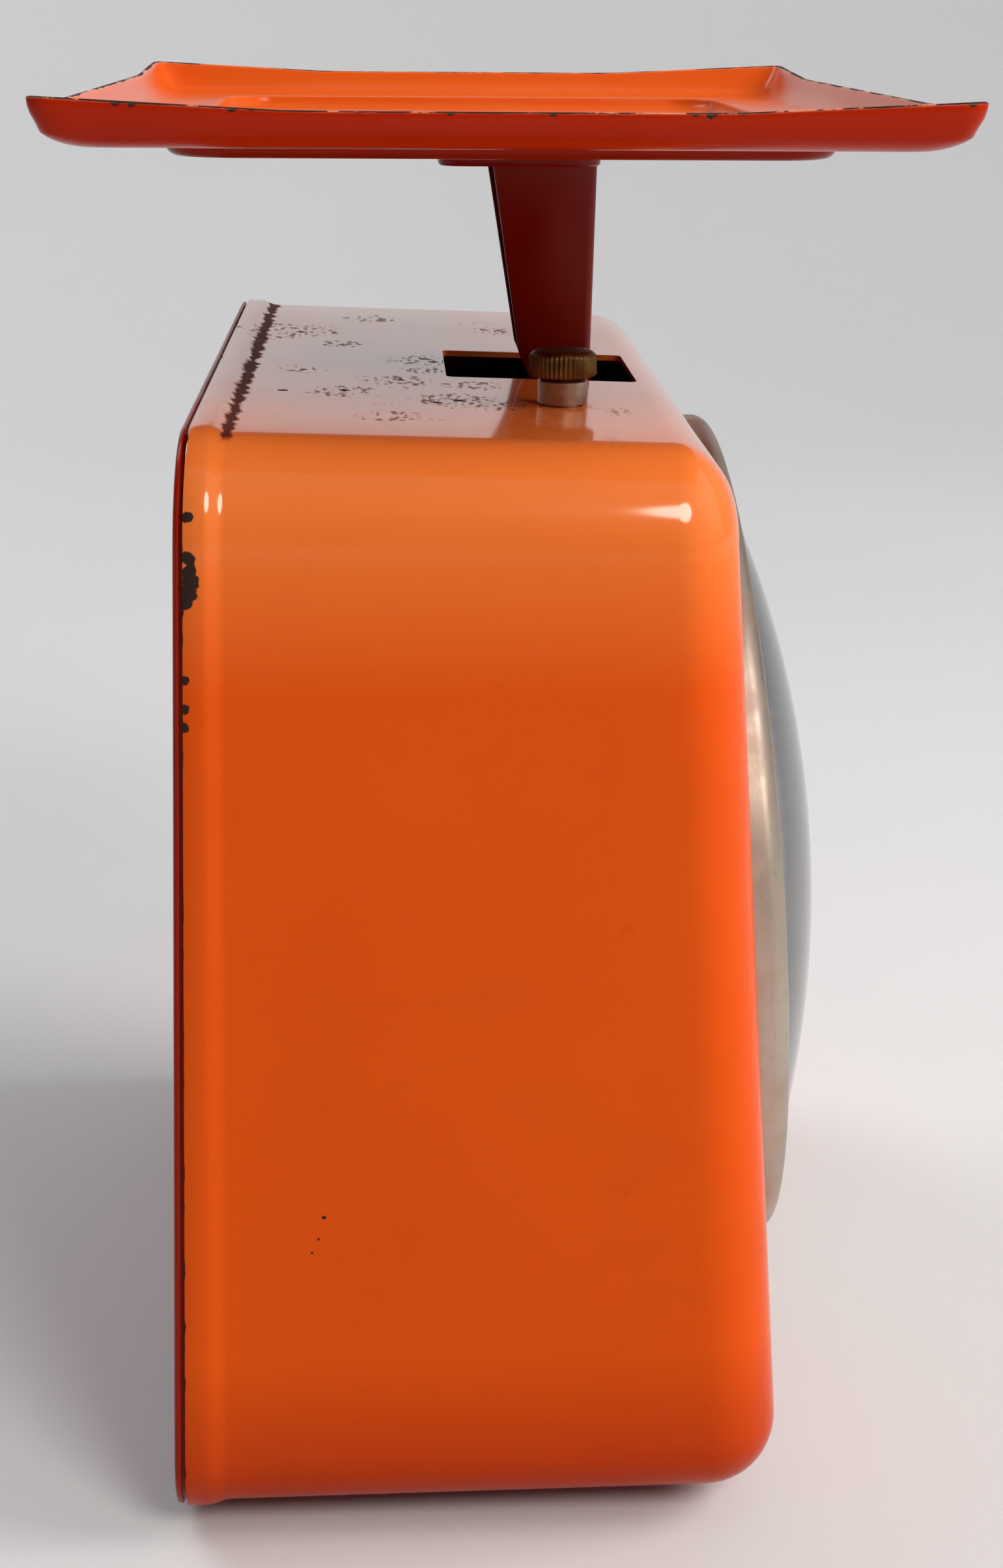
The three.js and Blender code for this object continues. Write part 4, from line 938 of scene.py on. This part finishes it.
column_top = FOOT + FLOOR - GAP - SUPPORT[2] - GAP
slot_level = top_at(SLOT_BACK) + NECK_RISE
neck_level = slot_level - NECK_DROP
levels = [(FOOT + COLUMN_FOOT, NECK_BACK, SLOT_HALF), (neck_level - 3, NECK_BACK, SLOT_HALF),
          (neck_level, NECK_BACK, SLOT_HALF), (slot_level, SLOT_BACK, SLOT_HALF)]
levels += [(slot_level + (column_top - slot_level) * i / 6, SLOT_BACK + (TOP_BACK - SLOT_BACK) * i / 6,
            SLOT_HALF + (TOP_HALF - SLOT_HALF) * i / 6) for i in range(1, 7)]
column_holes = []
for name in ("upper_column_pin", "lower_column_pin"):
    _, y, z = middle_mm(name)
    column_holes.append(rod(SCREW_HOLE, (-40, y, z), (40, y, z)))
low, high = box_mm("cross_bar")
column_holes.append(block(-40, 40, -18.5, -13.5, low.z - GAP, high.z + GAP))
for name in ("rack_screw_1", "rack_screw_2"):
    x, _, z = middle_mm(name)
    column_holes.append(rod(SCREW_HOLE, (x, -26, z), (x, -17, z)))
add_piece("folded_column", loft([channel(*level) for level in levels]), "platform",
          enamel_column_painted_shade, ["column"], column_holes)

# %% Tray support
def support_ring(inset, z):
    """The plate's outline at one height, `inset` mm inside its widest one."""
    half, back, corner = SUPPORT[0] - inset, SUPPORT[1] - inset, SUPPORT_R - inset
    return [Vector((p.x, p.y, z)) for p in rounded_ring(-half, half, WEB + inset, back, corner, corner, 8, 4)]


low_z = column_top + GAP
high_z = low_z + SUPPORT[2]
places = [(PLATE + 0.3, high_z - PLATE), (PLATE, high_z - PLATE - 0.4), (PLATE, low_z + 0.3),
          (PLATE - 0.3, low_z), (0.35, low_z), (0.0, low_z + 0.4), (0.0, high_z - 1.6), (0.12, high_z - 0.9),
          (0.5, high_z - 0.35), (1.3, high_z)]
add_piece("support_plate_enamel", loft([support_ring(*place) for place in places]), "platform",
          enamel_column_painted_shade, ["tray_support"], smooth=50)

# %% [markdown]
# ## Zero knob and springs
# The knob is knurled all round. Each spring is one wound wire that narrows at both ends; it stretches
# between the case and the platform. The rest of the mechanism is shown by the part's own nodes.

# %% Zero knob and collar
TEETH, SCREW_BORE, KNURL = 44, 2.3, 0.32


def knurled_ring(radius, z, depth):
    """A ring round the knob with `depth` mm deep grooves between its teeth."""
    points = []
    for i in range(TEETH * 4):
        r = radius - depth * (0.0, 0.5, 1.0, 0.5)[i % 4]
        t = math.tau * i / (TEETH * 4)
        points.append(Vector((knob_x + r * math.cos(t), knob_y + r * math.sin(t), z)))
    return points


low, high = box_mm("zero_knob")
radius = (high.x - low.x) / 2
bore_end = low.z + (high.z - low.z) * 0.55
places = [(SCREW_BORE, bore_end, 0), (SCREW_BORE, low.z, 0), (radius - 0.9, low.z, 0),
          (radius - 0.35, low.z + 0.2, 0.05), (radius, low.z + 0.55, KNURL), (radius, high.z - 1.35, KNURL),
          (radius - 0.3, high.z - 0.9, 0.1), (radius - 0.7, high.z - 0.5, 0),
          (radius - 1.3, high.z - 0.22, 0), (radius - 2.4, high.z - 0.1, 0), (1.2, high.z, 0)]
add_piece("knurled_zero_knob", loft([knurled_ring(*place) for place in places]), "zero_knob",
          brass, ["zero_knob"], smooth=32)

low, high = box_mm("zero_collar")
radius, shank = (high.x - low.x) / 2, 3.45
seat = high.z - 4.5
profile = [(SCREW_BORE, low.z), (shank - 0.3, low.z), (shank, low.z + 0.3), (shank, seat)]
profile += [(radius - 0.2, seat), (radius, seat + 0.2), (radius, high.z - 0.3), (radius - 0.3, high.z),
            (SCREW_BORE, high.z)]
collar = spun(profile, 64, Matrix.Translation((knob_x, knob_y, 0)))
add_piece("turned_zero_collar", collar, "case", collar_steel, ["zero_collar"])

# %% Springs
WIRE_R, TURNS, TURN_STEPS = 0.9, 30, 20
END_TURNS, END_SHARE = 1.5, 0.35   # turns that narrow at each end, and how narrow they get
HANGER_TRAVEL = 1.5            # the hanger nut comes down this far, with a little to spare


def wire_along(points):
    """A round wire through the points."""
    curve = bpy.data.curves.new("wire", "CURVE")
    curve.dimensions = "3D"
    curve.bevel_depth = WIRE_R
    curve.bevel_resolution = 3
    curve.use_fill_caps = True
    line = curve.splines.new("POLY")
    line.points.add(len(points) - 1)
    for spot, p in zip(line.points, points):
        spot.co = (*p, 1)
    return from_curve(curve)


def coil(low, high):
    """A wound wire that fills the box between two corners, a hair inside it."""
    x, y = (low.x + high.x) / 2, (low.y + high.y) / 2
    winding = (high.y - low.y) / 2 - WIRE_R - 0.1
    bottom, top = low.z + WIRE_R + 0.2, high.z - WIRE_R - 0.2
    points = []
    for i in range(TURNS * TURN_STEPS + 1):
        t = i / (TURNS * TURN_STEPS)
        full = min(1.0, t * TURNS / END_TURNS, (1 - t) * TURNS / END_TURNS)
        r = winding * (END_SHARE + (1 - END_SHARE) * full)
        angle = math.tau * TURNS * t
        points.append((x + r * math.cos(angle), y + r * math.sin(angle), bottom + (top - bottom) * t))
    return wire_along(points)


for name in ("spring_left", "spring_right"):
    low, high = box_mm(name)
    high.z -= HANGER_TRAVEL
    made = new_object(f"{name}_coil", coil(low, high))
    made.data.shade_smooth()
    made.data.materials.append(wire)
    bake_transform(made)
    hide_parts(name)
    print(name, len(made.data.polygons), "faces")

# %% Finishes of the nodes that stay
finishes = {"aged_brass": brass, "bare_steel": zinc, "spring_steel": wire, "foot_rubber": rubber,
            "bezel_metal": plating, "clear_lens": acrylic, "dial_white": dial_paint,
            "pointer_black": black_paint, "orange_enamel": enamel_case}
slots = {piece["node"]: piece["material_slot"] for piece in frame["record"]["subparts"]}
for name, kept in frame["nodes"].items():
    kept.data.materials.clear()
    kept.data.materials.append(finishes[slots[name]])
print("finishes given to", len(frame["nodes"]), "nodes")

# %% [markdown]
# ## Studio
# A pale floor sweeps up behind the scale. A large soft light stands on the dial's side and shows in no
# reflection, a small one is the window that the enamel mirrors, and one stands behind. The surround is
# brighter behind the scale and on the dial's side than behind the camera.

# %% Floor and lights
SWEEP_AT, SWEEP_R, FLOOR_HALF = 1.1, 0.8, 9.0   # metres: where the floor starts to rise, and how it rises
sweep = [(-3.0, 0.0), (SWEEP_AT, 0.0)]
sweep += [(SWEEP_AT + SWEEP_R * math.sin(t), SWEEP_R - SWEEP_R * math.cos(t)) for t in quarter(15)[1:]]
sweep += [(SWEEP_AT + SWEEP_R, 3.0)]
mesh = bmesh.new()
corners = [mesh.verts.new((x * 1000, -FLOOR_HALF * 1000, z * 1000)) for x, z in sweep]
edges = [mesh.edges.new(pair) for pair in zip(corners, corners[1:])]
out = bmesh.ops.extrude_edge_only(mesh, edges=edges)
moved = [item for item in out["geom"] if isinstance(item, bmesh.types.BMVert)]
bmesh.ops.translate(mesh, vec=(0, 2 * FLOOR_HALF * 1000, 0), verts=moved)
bmesh.ops.recalc_face_normals(mesh, faces=mesh.faces)
floor = new_object("studio_floor", mesh)
floor.data.shade_smooth()
look = Finish("pale_studio_paper", "dfe3e7", 0.6)
look.tint(look.between(look.grain(500, 2), 0.4, 0.7, 0.0, 0.4), "d8dcdf")
look.emboss(look.grain(3, 2), 0.05)
floor.data.materials.append(look.done())


def soft_light(name, at, aim, size, power, colour, mirrored=True):
    """A round soft light `size` metres across; one that isn't mirrored shows in no reflection."""
    lamp = bpy.data.lights.new(name, "AREA")
    lamp.shape = "DISK"
    lamp.size = size
    lamp.energy = power
    lamp.color = linear(colour)[:3]
    holder = bpy.data.objects.new(name, lamp)
    bpy.context.scene.collection.objects.link(holder)
    holder.location = at
    holder.rotation_euler = (Vector(aim) - Vector(at)).to_track_quat("-Z", "Y").to_euler()
    holder.visible_glossy = mirrored


soft_light("front", (-0.2, -1.5, 1.15), (0, 0, 0.15), 1.1, 22, "fff6ee", mirrored=False)
soft_light("window", (-1.14, -0.6, 1.12), (-0.1, -0.03, 0.15), 0.6, 12, "fff6ee")
soft_light("back", (0.9, 1.2, 1.6), (0.9, 0, 0.1), 1.0, 13, "f8f6f6")
world = bpy.data.worlds.new("surround")
bpy.context.scene.world = world
world.use_nodes = True
nodes, links = world.node_tree.nodes, world.node_tree.links
direction = nodes.new("ShaderNodeVectorMath")
direction.operation = "DOT_PRODUCT"
direction.inputs[1].default_value = (0.8, -0.6, 0)
links.new(nodes.new("ShaderNodeTexCoord").outputs["Generated"], direction.inputs[0])
ramp = nodes.new("ShaderNodeValToRGB")
ramp.color_ramp.elements[0].color = linear("5d5450")
ramp.color_ramp.elements[1].color = linear("ffffff")
spread = nodes.new("ShaderNodeMapRange")
spread.inputs["From Min"].default_value, spread.inputs["From Max"].default_value = -0.7, 0.5
links.new(direction.outputs["Value"], spread.inputs["Value"])
links.new(spread.outputs[0], ramp.inputs["Fac"])
links.new(ramp.outputs["Color"], nodes["Background"].inputs["Color"])
nodes["Background"].inputs["Strength"].default_value = 0.62
bpy.context.scene.view_settings.view_transform = "Standard"
print("floor", [round(v, 2) for v in floor.dimensions], "m, lights:", len(bpy.data.lights))
